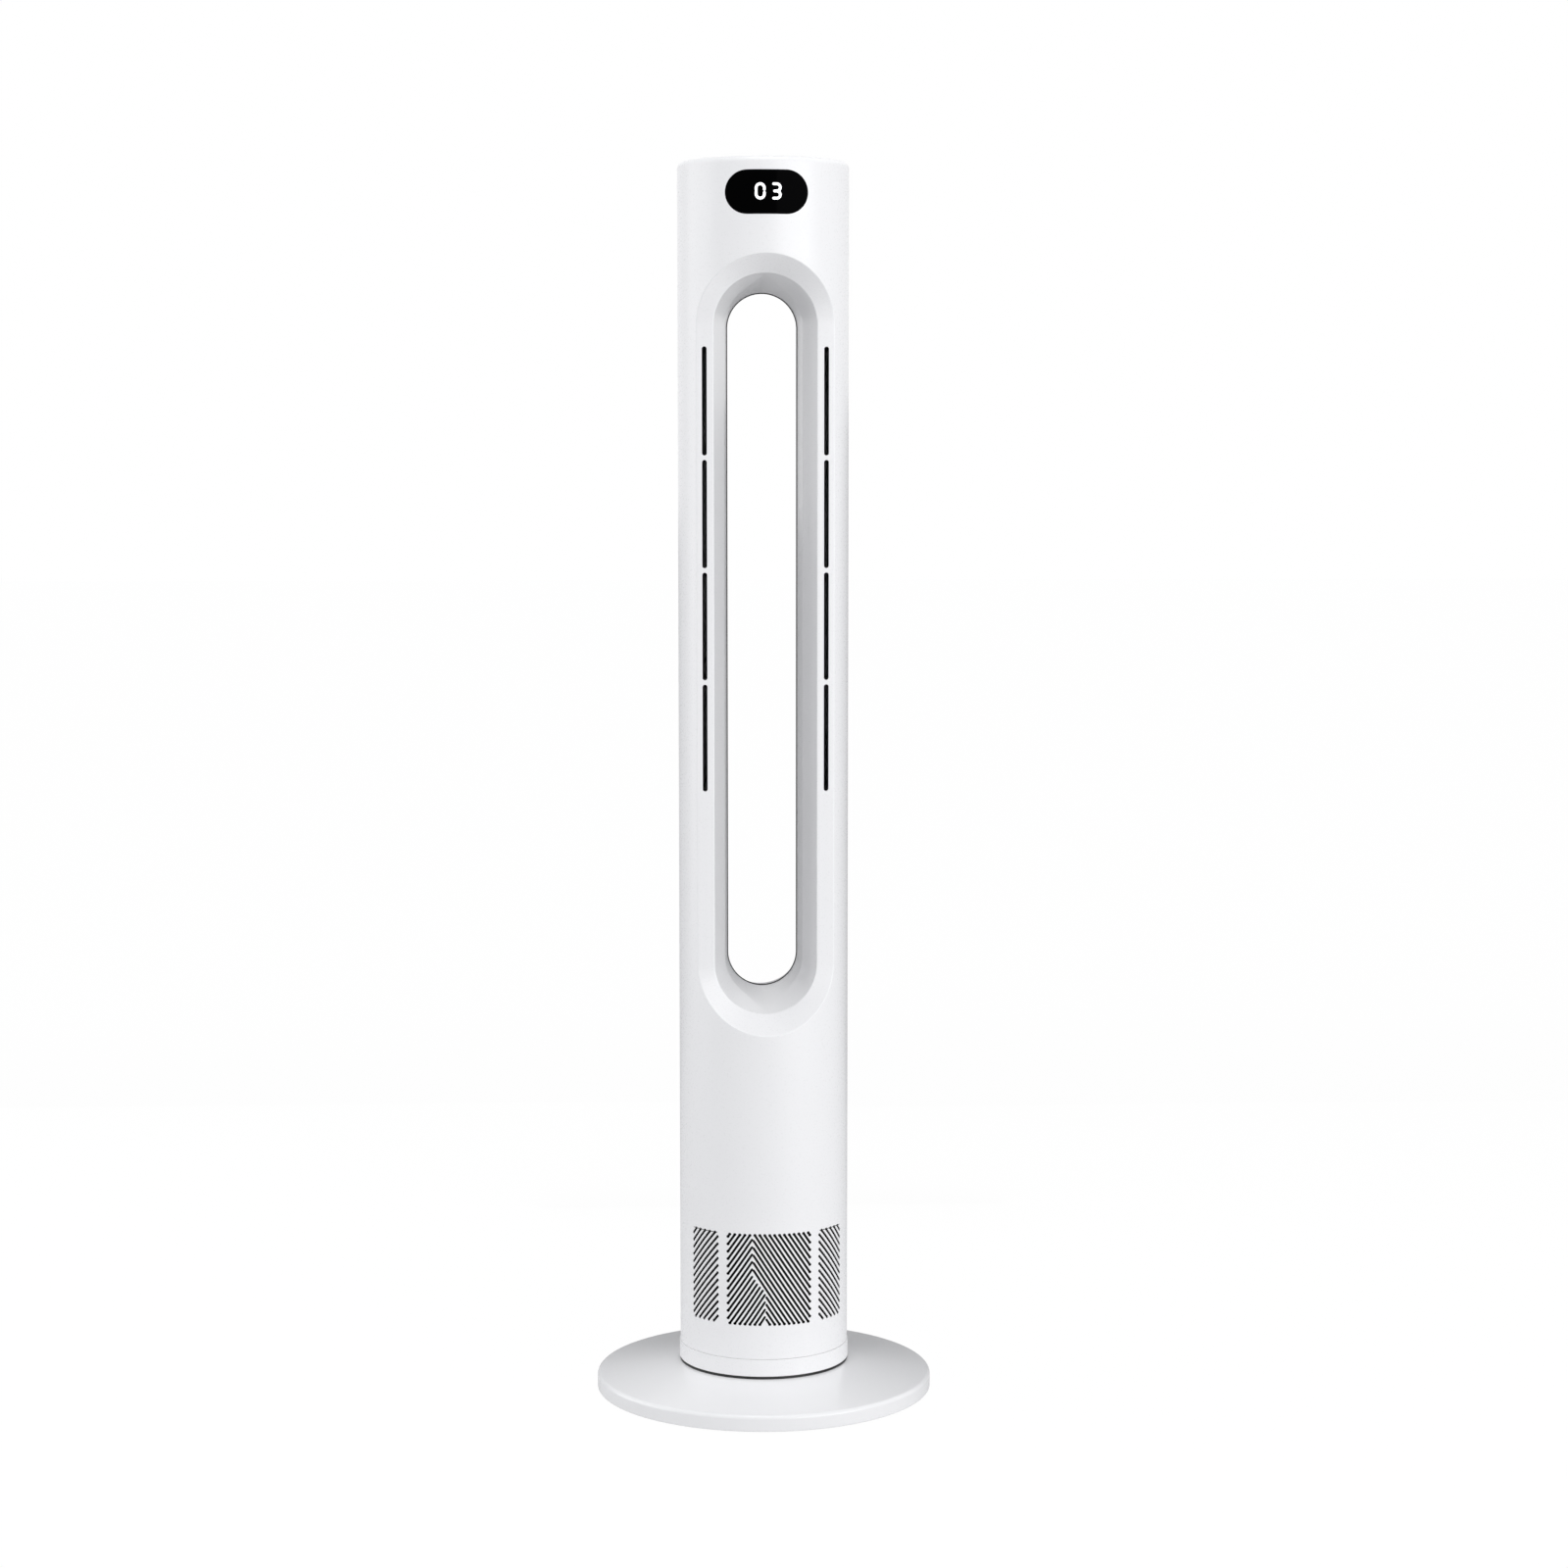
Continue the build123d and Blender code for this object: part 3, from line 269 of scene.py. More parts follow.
base_radius, base_wall, rim_low, rim_high, cone_top = 150, 2.5, 1.5, 15.1, 26
pit_radius, pit_lip, pit_floor, spindle_hole = 70, 6, 22, 16.3
inside_middle, inside_edge, inside_rim, rim_step = 23.4, 12.8, 11, 5
base_section = [
    (base_radius, rim_low, 0.9),
    (base_radius, rim_high, 3.5),
    (pit_radius + pit_lip, cone_top, 1.2),
    (pit_radius, cone_top, 0.5),
    (pit_radius, pit_floor),
    (spindle_hole, pit_floor),
    (spindle_hole, pit_floor - base_wall),
    (pit_radius + base_wall, pit_floor - base_wall),
    (pit_radius + base_wall, inside_middle),
    (base_radius - rim_step, inside_edge),
    (base_radius - base_wall, inside_rim),
    (base_radius - base_wall, rim_low),
]
base = lathe("base_disc", base_section)

# The mains inlet: a block inside the rim with a figure-eight hole through it.
block_half, block_low, block_high, block_front, block_back = 12, 2, 13, 136, 148.4
block_outline = oblong(-block_half, block_half, block_low, block_high)
carve(base, prism("socket", block_outline, block_front, block_back), "UNION")
inlet_lobe, inlet_pitch, inlet_z, half_waist = 4.3, 3.9, 7.7, 3.5
notch = math.degrees(math.acos(half_waist / inlet_lobe))
right_lobe = circle(inlet_pitch, inlet_z, inlet_lobe, 24, -(90 + notch), 180 + 2 * notch)
left_lobe = circle(-inlet_pitch, inlet_z, inlet_lobe, 24, 90 - notch, 180 + 2 * notch)
past = 2  # how far a cutting tool reaches past what it cuts
inlet_outline = right_lobe + left_lobe
carve(base, prism("inlet_hole", inlet_outline, block_front - past, base_radius + past))
smooth(base)
paint(base, base_abs)
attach(base, "base")
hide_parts("base_cover")


# ---- Under the base ----
# A black moulded cover screwed on from below, six rubber feet, the steel weight plate that
# keeps the tall column steady, and the mains inlet whose two pins stand in the socket.
def finish(material, *names):
    """Give CAD parts that keep their own shape a finish."""
    for name in names:
        paint(cad[name], material)


def metal(name, light, dark, roughness, grain, stretch=(1, 1, 1), depth=0.01):
    """Bare or plated metal; grain and depth are those of its marks, in millimetres."""
    material, place = blank(name)
    along = add(material, "Mapping", {"Scale": stretch}, {"Vector": place})
    marks = add(
        material, "TexNoise", {"Scale": 1000 / grain, "Detail": 4.0, "Roughness": 0.6},
        {"Vector": (along, 0)},
    )
    tone = add(material, "Mix", between(dark, light), {0: (marks, "Fac")})
    polish = add(material, "MapRange", varied(roughness, 0.25), {"Value": (marks, "Fac")})
    bump = add(
        material, "Bump", {"Strength": 1.0, "Distance": depth * mm}, {"Height": (marks, "Fac")}
    )
    shader = add(
        material, "BsdfPrincipled", {"Metallic": 1.0},
        {"Base Color": (tone, 2), "Roughness": (polish, 0), "Normal": (bump, 0)},
    )
    add(material, "OutputMaterial", {}, {"Surface": (shader, 0)})
    return material


# Black ABS from a spark-eroded tool: dark and dull, with a grain of about a millimetre.
black_abs = moulded("ABS black spark eroded", "#131314", "#0d0d0e", 0.55, 1.0, 0.02)
# Moulded rubber: duller and a little dusty, with a soft broken sheen.
black_rubber = moulded("rubber black moulded", "#232324", "#161617", 0.72, 0.8, 0.03)
# Zinc plated sheet: grey with a blue cast and soft cloudy spangle about 6 mm across.
zinc_plate = metal("steel zinc plated sheet", "#b9bec6", "#8f959e", 0.38, 6.0)
# Zinc plated screws: brighter, with fine turned marks.
zinc_screw = metal("steel zinc plated screw", "#c8ccd2", "#9ea3aa", 0.30, 1.2, (1, 1, 4))
# Nickel over brass pins: warm, nearly mirror bright, drawn along their length.
nickel_pin = metal("brass nickel plated pin", "#d8c9a0", "#bfae84", 0.18, 0.6, (1, 0.1, 1))
# Extruded PVC sheath of the inner lead: dark, evenly dull and smooth.
black_pvc = moulded("PVC black extruded sheath", "#1d1d1f", "#161618", 0.48, 1.6, 0.01)
finish(black_abs, "base_bottom_cover", "power_inlet")
finish(black_rubber, "rubber_feet")
finish(zinc_plate, "weight_plate")
finish(zinc_screw, "base_screws")
finish(nickel_pin, "inlet_pins")
finish(black_pvc, "mains_lead")


# ---- Swing drive ----
# A steel spindle stands in the base with a fixed acetal gear; a small geared stepper motor
# on a bracket in the column walks its pinion round the gear, over an acetal washer.
# Acetal: milky off-white and slightly waxy, from a plain machined tool.
acetal = moulded("acetal natural moulded", "#eeede6", "#e4e3da", 0.34, 1.2, 0.006)
# Nickel plated cans of the small motor: smooth and bright with a faint drawn grain.
nickel_can = metal("steel nickel plated drawn", "#cfd0d2", "#adafb3", 0.26, 1.0, (1, 1, 0.15))
finish(acetal, "thrust_washer", "swivel_gear", "swivel_pinion", "board_spacers")
finish(zinc_plate, "swivel_spindle", "spindle_clip", "motor_bracket")
finish(zinc_screw, "spindle_screws", "chassis_screws")
finish(nickel_can, "swivel_motor")


# ---- Turning ring ----
# Black ABS ring under the foot. It glides on the washer in the base's well; its black face,
# reaching down nearly to the base, is also painted shade for the shadow gap under the collar,
# and shows as a dark line between the base and the white collar.
shadow_line_radius, shadow_line_low, foot_low = 75.2, 26.12, 28.4
glide_inner, glide_outer, glide_low = 38, 62, 24.3
turning_ring_section = [
    (shadow_line_radius, shadow_line_low, 0.15),
    (shadow_line_radius, foot_low),
    (glide_inner, foot_low),
    (glide_inner, glide_low, 0.4),
    (glide_outer, glide_low, 0.4),
    (glide_outer, shadow_line_low),
]
turning_ring = lathe("turning_ring_dressed", turning_ring_section)
smooth(turning_ring)
paint(turning_ring, black_abs)
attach(turning_ring, "column")
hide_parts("turning_ring")


# ---- Turning foot ----
# White ABS collar on which the column stands, moulded with its floor, hub and four posts.
# Its skirt is a little wider than the shells, which sit round its spigot with a fine seam.
skirt_outer, skirt_inner, skirt_top, foot_floor = 75.8, 73.2, 43.7, 31.4
spigot_outer, spigot_inner, spigot_top = 72.2, 69.8, 52
hub_outer, hub_inner, hub_top = 20, 16.06, 50
foot_section = [
    (skirt_outer, foot_low, 0.8),
    (skirt_outer, skirt_top, 0.2),
    (skirt_inner, skirt_top, 0.2),
    (skirt_inner, foot_floor),
    (spigot_outer, foot_floor),
    (spigot_outer, spigot_top, 0.4),
    (spigot_inner, spigot_top, 0.4),
    (spigot_inner, foot_floor),
    (hub_outer, foot_floor),
    (hub_outer, hub_top, 0.4),
    (hub_inner, hub_top, 0.4),
    (hub_inner, foot_low),
]
foot = lathe("turning_foot", foot_section)
post_hole, post_radius, post_low, post_high, post_screw = 1.5, 4, 31.5, 62, 50
post_section = [(post_hole, post_screw), (post_hole, post_low), (post_radius, post_low)]
post_section += [(post_radius, post_high, 0.4), (post_hole, post_high, 0.2)]
post_places = ((42.0, 44.0), (-42.0, 44.0), (-46.0, -40.0), (46.0, -40.0))
join(foot, [lathe("foot_post", post_section, 32, place) for place in post_places])
smooth(foot)
paint(foot, white_abs)
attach(foot, "column")
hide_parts("column_foot")


# ---- Power board ----
# Green glass-fibre board with the transformer, capacitors, choke and heat sink of the
# supply, hidden in the foot of the column behind the grille.
def circuit_board(name, pitch):
    """Solder mask over rows of copper tracks at a pitch in millimetres."""
    row = 0.25  # height of a brick, in the texture's own unit
    material, place = blank(name)
    greens = {"Color1": "#0d5a2c", "Color2": "#0f6632", "Mortar": "#2d8a4f"}
    look = {key: linear(green) for key, green in greens.items()}
    look.update({"Scale": 1000 * row / pitch, "Mortar Size": 0.03})
    tracks = add(material, "TexBrick", look, {"Vector": place})
    shader = add(
        material, "BsdfPrincipled", {"Roughness": 0.32, "IOR": 1.5}, {"Base Color": (tracks, 0)}
    )
    add(material, "OutputMaterial", {}, {"Surface": (shader, 0)})
    return material


# Solder mask on FR-4: glossy deep green with paler tracks in rows about 2 mm apart.
green_board = circuit_board("FR-4 board green solder mask", 2.0833)
# Moulded epoxy of the components: near black, matt, with a fine even grain.
black_epoxy = moulded("epoxy black moulded component", "#242426", "#19191b", 0.5, 0.9, 0.01)
finish(green_board, "power_board", "control_board", "display_board")
finish(black_epoxy, "power_board_parts", "key_switches")


# ---- Fan and motor ----
# Glass-filled nylon impeller under a ring of fixed vanes, driven by a brushless motor in
# the pod. Seen only faintly through the grille and the slots.
# Glass-filled nylon: mid grey, matt, with pale fibre flecks along the blades.
grey_nylon = moulded("nylon grey glass filled", "#6f7275", "#54575a", 0.5, 1.1, 0.02)
# Die-cast aluminium: light grey with a slightly orange-peel skin from the die.
cast_alloy = metal("aluminium die cast", "#c4c5c7", "#9a9c9f", 0.45, 2.0, depth=0.04)
# Ground steel: bright, with fine marks round the shaft.
ground_steel = metal("steel ground", "#d2d3d5", "#b4b6b9", 0.14, 0.5, (1, 1, 6))


def striped(name, light, dark, pitch, roughness):
    """Metal built up of level layers or turns at a pitch in millimetres."""
    bands = 20 / math.tau  # bands that the wave texture draws in one unit
    material, place = blank(name)
    turns = add(
        material, "TexWave",
        {"Scale": 1000 / pitch / bands, "bands_direction": "Z", "Distortion": 0.2},
        {"Vector": place},
    )
    tone = add(material, "Mix", between(dark, light), {0: (turns, "Fac")})
    bump = add(
        material, "Bump", {"Strength": 0.6, "Distance": 0.1 * mm}, {"Height": (turns, "Fac")}
    )
    shader = add(
        material, "BsdfPrincipled", {"Metallic": 1.0, "Roughness": roughness},
        {"Base Color": (tone, 2), "Normal": (bump, 0)},
    )
    add(material, "OutputMaterial", {}, {"Surface": (shader, 0)})
    return material


# Laminated core: half-millimetre steel sheets, drawn at about 2 mm so that they show.
lamination = striped("steel laminated core", "#8d9094", "#4e5155", 1.974, 0.42)
# Enamelled copper wire of 0.6 mm laid turn on turn, drawn twice as coarse so that it shows.
copper_wire = striped("copper enamelled winding", "#c9713a", "#7a3a17", 1.184, 0.3)
finish(black_abs, "inlet_ring", "fan_housing", "diffuser")
finish(grey_nylon, "impeller")
finish(cast_alloy, "motor_case", "motor_lid")
finish(ground_steel, "motor_shaft", "motor_bearings")
finish(lamination, "motor_stator", "motor_rotor")
finish(copper_wire, "motor_windings")
finish(zinc_screw, "damper_screws", "impeller_nut")
finish(zinc_plate, "damper_sleeves")
finish(black_rubber, "housing_dampers")


# ---- Column shells ----
# Two half shells of white ABS that meet behind the widest line of the column and are held by
# screws from behind. They are 2.5 mm thick, and thinner round the slits of the intake grille.
# The front one has the recessed ring round the opening; both have the rounded top rim.
column_radius, column_wall, grille_wall = 75.0, 2.5, 0.9
column_low, column_high = 43.9, 1090
rim_inner, ledge_inner, ledge_low, ledge_high = 69.2, 65, 1083.5, 1086
split_front, split_rear = 20.0, 20.3
boss_x, boss_heights = 66.0, (110, 300, 480, 660, 840, 1010)
arc_low, arc_high = 392.0, 948.0
grille_low, grille_high = 74.0, 156.5


def column_skin(name):
    """The whole round wall with its rim and the ledge that holds the top panel."""
    inner = column_radius - column_wall
    thin = column_radius - grille_wall
    return lathe(
        name,
        [
            (column_radius, column_low, 0.15),
            (column_radius, column_high, 5),
            (rim_inner, column_high, 0.6),
            (rim_inner, ledge_high),
            (ledge_inner, ledge_high),
            (ledge_inner, ledge_low),
            (inner, ledge_low),
            (inner, grille_high + 3),
            (thin, grille_high + 2),
            (thin, grille_low - 2),
            (inner, grille_low - 3),
            (inner, column_low),
        ],
    )


def keep_half(piece, y, front):
    """Cut a piece along an upright plane and close the cut."""
    edit(piece)
    bpy.ops.mesh.bisect(
        plane_co=(0, y * mm, 0), plane_no=(0, 1, 0), threshold=1e-7,
        use_fill=True, clear_outer=front, clear_inner=not front,
    )
    only(piece)


def oval(radius):
    """Points round the opening; a line from point to point just touches the radius."""
    parts = 192
    outer = radius / math.cos(math.pi / parts)
    half = 180 / parts
    upper = circle(0, arc_high, outer, parts // 2 - 1, half, 180 - 2 * half)
    lower = circle(0, arc_low, outer, parts // 2 - 1, 180 + half, 180 - 2 * half)
    return upper + lower


def from_middle(point):
    """Where a point stands round the opening: its arc's middle, distance and direction."""
    x, z = point[0] / mm, point[2] / mm
    middle = min(max(z, arc_low), arc_high)
    away = Vector((x, z - middle))
    return middle, away.length, away.normalized()


def on_column(radius, across, column=column_radius):
    """Depth at which a line round the opening lies on the column's wall."""
    return math.sqrt(column ** 2 - (radius * across) ** 2)


def pick(piece, kind, wanted):
    """Select the edges or the faces whose points are all wanted."""
    edit(piece, "DESELECT")
    bpy.ops.mesh.select_mode(type=kind)
    mode("OBJECT")
    for part in piece.data.edges if kind == "EDGE" else piece.data.polygons:
        part.select = all(v in wanted for v in part.vertices)
    mode("EDIT")


def pull_rows(piece, loop, count):
    """Pull a line of edges out into more rows, still lying on it; gives each row's points."""
    pick(piece, "EDGE", loop)
    rows = []
    for _ in range(count):
        bpy.ops.mesh.extrude_edges_move()
        mode("OBJECT")
        rows.append([v.index for v in piece.data.vertices if v.select])
        mode("EDIT")
    mode("OBJECT")
    return rows


def shape_rows(piece, rows, section, cut_radius):
    """Put each row where the section says, as (radius, depth), for every direction."""
    for number, row in enumerate(rows):
        for index in row:
            vertex = piece.data.vertices[index]
            middle, distance, (across, up) = from_middle(vertex.co)
            radius, depth = section(across, up)[number]
            radius *= distance / cut_radius
            vertex.co = Vector((across * radius, depth, middle + up * radius)) * mm


def bend(start, corner, end, parts=4):
    """Points of a rounded corner from start to end, without the start."""
    start, corner, end = Vector(start), Vector(corner), Vector(end)
    line = []
    for k in range(1, parts + 1):
        t = k / parts
        line.append((1 - t) ** 2 * start + 2 * t * (1 - t) * corner + t ** 2 * end)
    return line


def toward(start, end, reach):
    """The point a short way from one place to another."""
    start, end = Vector(start), Vector(end)
    return start + (end - start).normalized() * min(reach, (end - start).length * 0.45)


def open_wall(piece, radius, side, outer_section, inner_section):
    """Cut the oval opening in the front wall (side -1) or the rear one (1), and line it.

    The wall is cut at a radius, the cut faces are taken out, and the two edges that stay
    are pulled along their sections and joined to each other.
    """
    wall_from, wall_to = 20, 95  # depths between which the tool cuts
    near, skin = 0.02, 0.2  # how near the cut and the outer face a point counts as on it
    front, back = sorted((side * wall_from, side * wall_to))
    carve(piece, prism("opening", oval(radius), front, back))
    outer, inner = set(), set()
    for vertex in piece.data.vertices:
        _, distance, _ = from_middle(vertex.co)
        if abs(distance - radius) < near and vertex.co.y * side > 0:
            reach = math.hypot(vertex.co.x, vertex.co.y) / mm
            (outer if reach > column_radius - skin else inner).add(vertex.index)
    pick(piece, "FACE", outer | inner)
    bpy.ops.mesh.delete(type="FACE")
    only(piece)
    outer_rows = pull_rows(piece, outer, len(outer_section(1.0, 0.0)))
    inner_rows = pull_rows(piece, inner, len(inner_section(1.0, 0.0)))
    pick(piece, "EDGE", set(outer_rows[-1]) | set(inner_rows[-1]))
    bpy.ops.mesh.bridge_edge_loops()
    mode("OBJECT")
    shape_rows(piece, outer_rows, outer_section, radius)
    shape_rows(piece, inner_rows, inner_section, radius)


ring_outer, ring_inner, ring_depth, ring_end = 60.0, 44.7, -46.0, -43.5
ring_rounding, edge_reach, floor_reach = 0.8, 0.9, 1.1


def ring_front(across, up):
    """Section of the recessed ring: over the rounded edge, down the slope, into the tunnel."""
    start = ring_outer + ring_rounding
    edge = (start, -on_column(start, across))
    corner = (ring_outer, -on_column(ring_outer, across))
    floor = (ring_inner, ring_depth)
    line = bend(edge, corner, toward(corner, floor, edge_reach))
    down = toward(floor, corner, floor_reach)
    line.append(down)
    line += bend(down, floor, (ring_inner, ring_depth + floor_reach))
    line.append(Vector((ring_inner, ring_end)))
    return line


def ring_back(across, up):
    """The lining's hidden side."""
    return [Vector((ring_inner + column_wall, ring_end))]


boss_radius, boss_web, front_boss, rear_boss = 4.5, 1.2, 4, 42
bite_radius, bite_end, pass_radius, well_radius, well_floor = 1.5, 8, 1.7, 3.2, 30.0
boss_places = [(side * boss_x, z) for side in (-1, 1) for z in boss_heights]


def boss_outline(x, z):
    """A round boss with the web that ties it to the wall at its side."""
    side = 1 if x > 0 else -1
    lean = math.degrees(math.asin(boss_web / boss_radius))
    start = lean if side > 0 else 180 + lean
    points = circle(x, z, boss_radius, 28, start, 360 - 2 * lean)
    tip = x + side * (column_radius - boss_x)
    return points + [(tip, z - side * boss_web), (tip, z + side * boss_web)]


def pegs(name, radius, y0, y1, parts=24):
    """A round bar along Y at each boss, as one piece."""
    bars = [prism(name, circle(x, z, radius, parts), y0, y1) for x, z in boss_places]
    return join(bars[0], bars[1:])


def add_bosses(piece, y0, y1):
    """Screw bosses inside the wall, each with its web to it."""
    bars = [prism("boss", boss_outline(x, z), y0, y1) for x, z in boss_places]
    bosses = join(bars[0], bars[1:])
    within, core_low, core_high = column_radius - 0.8, 60, 1060
    carve(bosses, lathe("core", oblong(0, within, core_low, core_high)), "INTERSECT")
    carve(piece, bosses, "UNION")


# The grille's windows are turned about the column: angles in degrees, lengths in millimetres.
grille_turn, side_window = 1.5, 48.5
middle_width, middle_slit, middle_slant, middle_rise = 74.3, 2.1, 57.0, 6.65
side_width, side_slit, side_slant, side_rise = 32.1, 2.4, 48.5, 6.5
middle_floor, side_floor, clear_front = -60, -68, -80
dot_radius, border_slit, border_half, border_drop = 1.4, 0.8, 14.5, 1.1
line_high, line_low, line_left, line_right, gap_at_line = 117.0, 104.0, -14.8, -3.6, 0.55


def chevron_line(z):
    """Where the two slants of the middle window meet, across from its middle."""
    share = min(1.0, max(0.0, (line_high - z) / (line_high - line_low)))
    return line_left + share * (line_right - line_left)


def slits(slit_width, width, slope, rise, inside):
    """Ends of the slanted slits that fit a window, each as (across, up, has a dot)."""
    half = width / 2 - slit_width / 2
    low, high = grille_low + slit_width / 2, grille_high - slit_width / 2
    found, steps = [], 200
    beside, above = 0.6, 0.8  # how near the window's border an end counts as on it
    reach = int((high - low + 2 * half * abs(slope)) / rise) + 2
    for i in range(-reach, reach):
        run, longest = [], []
        for k in range(steps + 1):
            s = -half + 2 * half * k / steps
            z = (low + high) / 2 + i * rise + slope * s
            run = run + [(s, z)] if low <= z <= high and inside(s, z) else []
            longest = max(longest, run, key=len)
        run = longest
        if len(run) < 2 or math.dist(run[0], run[-1]) <= slit_width:
            continue
        ends = []
        for s, z in (run[0], run[-1]):
            at_edge = half - abs(s) < beside or min(z - low, high - z) < above
            ends.append((s, z, at_edge))
        found.append(ends)
    return found


def slit_outline(slit_width, ends):
    """A slit with round ends; an end at the window's border widens into a dot."""
    (x0, z0, dot0), (x1, z1, dot1) = ends
    lean = math.degrees(math.atan2(z1 - z0, x1 - x0))
    points = []
    for x, z, dot, facing in ((x0, z0, dot0, lean + 180), (x1, z1, dot1, lean)):
        radius = dot_radius if dot else slit_width / 2
        spread = 180 - math.degrees(math.asin(slit_width / 2 / radius)) if dot else 90
        points += circle(x, z, radius, 10, facing - spread, 2 * spread)
    return points


def turn(piece, degrees):
    """Turn a piece's mesh about the column's axis."""
    edit(piece)
    bpy.ops.transform.rotate(
        value=math.radians(-degrees), orient_axis="Z", center_override=(0, 0, 0)
    )
    only(piece)


def clear_of_well(side):
    """Whether a point of a rear side window keeps away from the screw well beside it."""
    lean = math.degrees(math.asin(boss_x / column_radius)) - side_window - side * grille_turn
    across = side * column_radius * math.sin(math.radians(lean))
    keep = well_radius + 3
    return lambda s, z: abs(s - across) > keep or abs(z - boss_heights[0]) > keep


def cut_grille(piece, facing, inside=lambda side: lambda s, z: True):
    """One middle window of slits in a chevron and a window of slanted slits each side."""
    slope = math.tan(math.radians(middle_slant))
    windows = []
    for side in (-1, 1):
        found = slits(
            middle_slit, middle_width, -side * slope, middle_rise,
            lambda s, z: side * (s - chevron_line(z)) > gap_at_line,
        )
        windows.append((0, middle_slit, found, middle_floor))
    slope = math.tan(math.radians(side_slant))
    border_z = grille_high - border_drop
    border = [[(-border_half, border_z, False), (border_half, border_z, False)]]
    for side in (-1, 1):
        found = slits(side_slit, side_width, -side * slope, side_rise, inside(side))
        windows.append((side * side_window, side_slit, found, side_floor))
        windows.append((side * side_window, border_slit, border, side_floor))
    for angle, width, found, floor in windows:
        bars = [prism("slit", slit_outline(width, ends), clear_front, floor) for ends in found]
        window = join(bars[0], bars[1:])
        turn(window, facing + angle)
        carve(piece, window)


def round_shading(piece, radius=column_radius):
    """Shade what lies on the column's round wall as a true cylinder."""
    mesh, near, outwards = piece.data, 0.05, 0.87
    normals = [Vector(n.vector) for n in mesh.corner_normals]
    for loop in mesh.loops:
        spot = mesh.vertices[loop.vertex_index].co
        reach = math.hypot(spot.x, spot.y)
        outward = Vector((spot.x, spot.y, 0)) / reach
        if abs(reach / mm - radius) < near and normals[loop.index].dot(outward) > outwards:
            normals[loop.index] = outward
    mesh.normals_split_custom_set([tuple(n) for n in normals])


front_shell = column_skin("front_shell_dressed")
keep_half(front_shell, split_front, True)
open_wall(front_shell, ring_outer + ring_rounding, -1, ring_front, ring_back)
tidy_normals(front_shell)
add_bosses(front_shell, front_boss, split_front)
carve(front_shell, pegs("screw_hole", bite_radius, bite_end, split_front + past))

# Air slots: four tall round-ended slots down each long side of the ring.
slot_x, slot_width, slot_length, slot_pitch, slot_low = 52.9, 4.2, 93.6, 97.4, 544.1
slot_count, slot_front, slot_back = 4, -50, -38
slot_bars = []
for side in (-1, 1):
    for i in range(slot_count):
        low = slot_low + i * slot_pitch + slot_width / 2
        high = low + slot_length - slot_width
        ends = circle(side * slot_x, low, slot_width / 2, 12, 180, 180)
        ends += circle(side * slot_x, high, slot_width / 2, 12, 0, 180)
        slot_bars.append(prism("slot", ends, slot_front, slot_back))
carve(front_shell, join(slot_bars[0], slot_bars[1:]))


def stadium(width, height, z, parts=24):
    """Outline of a lying round-ended window."""
    reach = (width - height) / 2
    right = circle(reach, z, height / 2, parts, -90, 180)
    return right + circle(-reach, z, height / 2, parts, 90, 180)


display_z, display_width, display_height, lens_gap, display_back = 1059.4, 70.8, 37.2, 0.3, -55
hole = stadium(display_width + lens_gap, display_height + lens_gap, display_z)
carve(front_shell, prism("display_hole", hole, clear_front, display_back))
cut_grille(front_shell, grille_turn)
smooth(front_shell)
round_shading(front_shell)
paint(front_shell, white_abs)
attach(front_shell, "column")
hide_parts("front_shell")

tunnel_flare, tunnel_wall, seam, hole_rounding, hole_edge = 37.4, 2.5, 0.3, 0.5, 0.6
rear_hole = tunnel_flare + tunnel_wall + seam


def rear_edge(across, up):
    """Section of the rear opening's small rounded edge and its cut through the wall."""
    start = rear_hole + hole_rounding
    edge = (start, on_column(start, across))
    corner = (rear_hole, on_column(rear_hole, across))
    return bend(edge, corner, (rear_hole, corner[1] - hole_edge))


def rear_edge_inside(across, up):
    """The same edge on the hidden side of the wall."""
    return [Vector((rear_hole, on_column(rear_hole, across, column_radius - column_wall)))]


rear_shell = column_skin("rear_shell_dressed")
keep_half(rear_shell, split_rear, False)
open_wall(rear_shell, rear_hole + hole_rounding, 1, rear_edge, rear_edge_inside)
tidy_normals(rear_shell)
add_bosses(rear_shell, split_rear, rear_boss)
carve(rear_shell, pegs("screw_hole", pass_radius, split_rear - past, well_floor + 1))
carve(rear_shell, pegs("screw_well", well_radius, well_floor, 60, 32))
cut_grille(rear_shell, grille_turn + 180, clear_of_well)
smooth(rear_shell)
round_shading(rear_shell)
paint(rear_shell, white_abs)
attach(rear_shell, "column")
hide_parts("rear_shell")


# ---- Shell screws ----
# Zinc plated pan-head screws deep in the rear shell's wells, each with a cross recess; they
# pass the rear boss and bite into the front one.
screw_tip, screw_top, screw_head, screw_dome, screw_shank = 9.0, 32.0, 2.9, 0.7, 1.48
first_x, first_z = boss_places[0]
head_outline = circle(first_x, first_z, screw_head, 32)
screw = prism("shell_screws_dressed", head_outline, well_floor, screw_top)
pick(screw, "FACE", {v.index for v in screw.data.vertices if v.co.y > (screw_top - 0.1) * mm})
bpy.ops.mesh.bevel(offset=screw_dome * mm, segments=4, affect="EDGES")
only(screw)
recess_long, recess_short, recess_floor = 1.6, 0.35, 31.0
for across, up in ((recess_long, recess_short), (recess_short, recess_long)):
    bar = oblong(first_x - across, first_x + across, first_z - up, first_z + up)
    carve(screw, prism("recess", bar, recess_floor, screw_top + 1))
shank = prism("shank", circle(first_x, first_z, screw_shank, 20), screw_tip, well_floor + 0.5)
carve(screw, shank, "UNION")
copies = []
for x, z in boss_places[1:]:
    twin = screw.copy()
    twin.data = screw.data.copy()
    bpy.context.scene.collection.objects.link(twin)
    edit(twin)
    bpy.ops.transform.translate(value=((x - first_x) * mm, 0, (z - first_z) * mm))
    only(twin)
    copies.append(twin)
shell_screws = join(screw, copies)
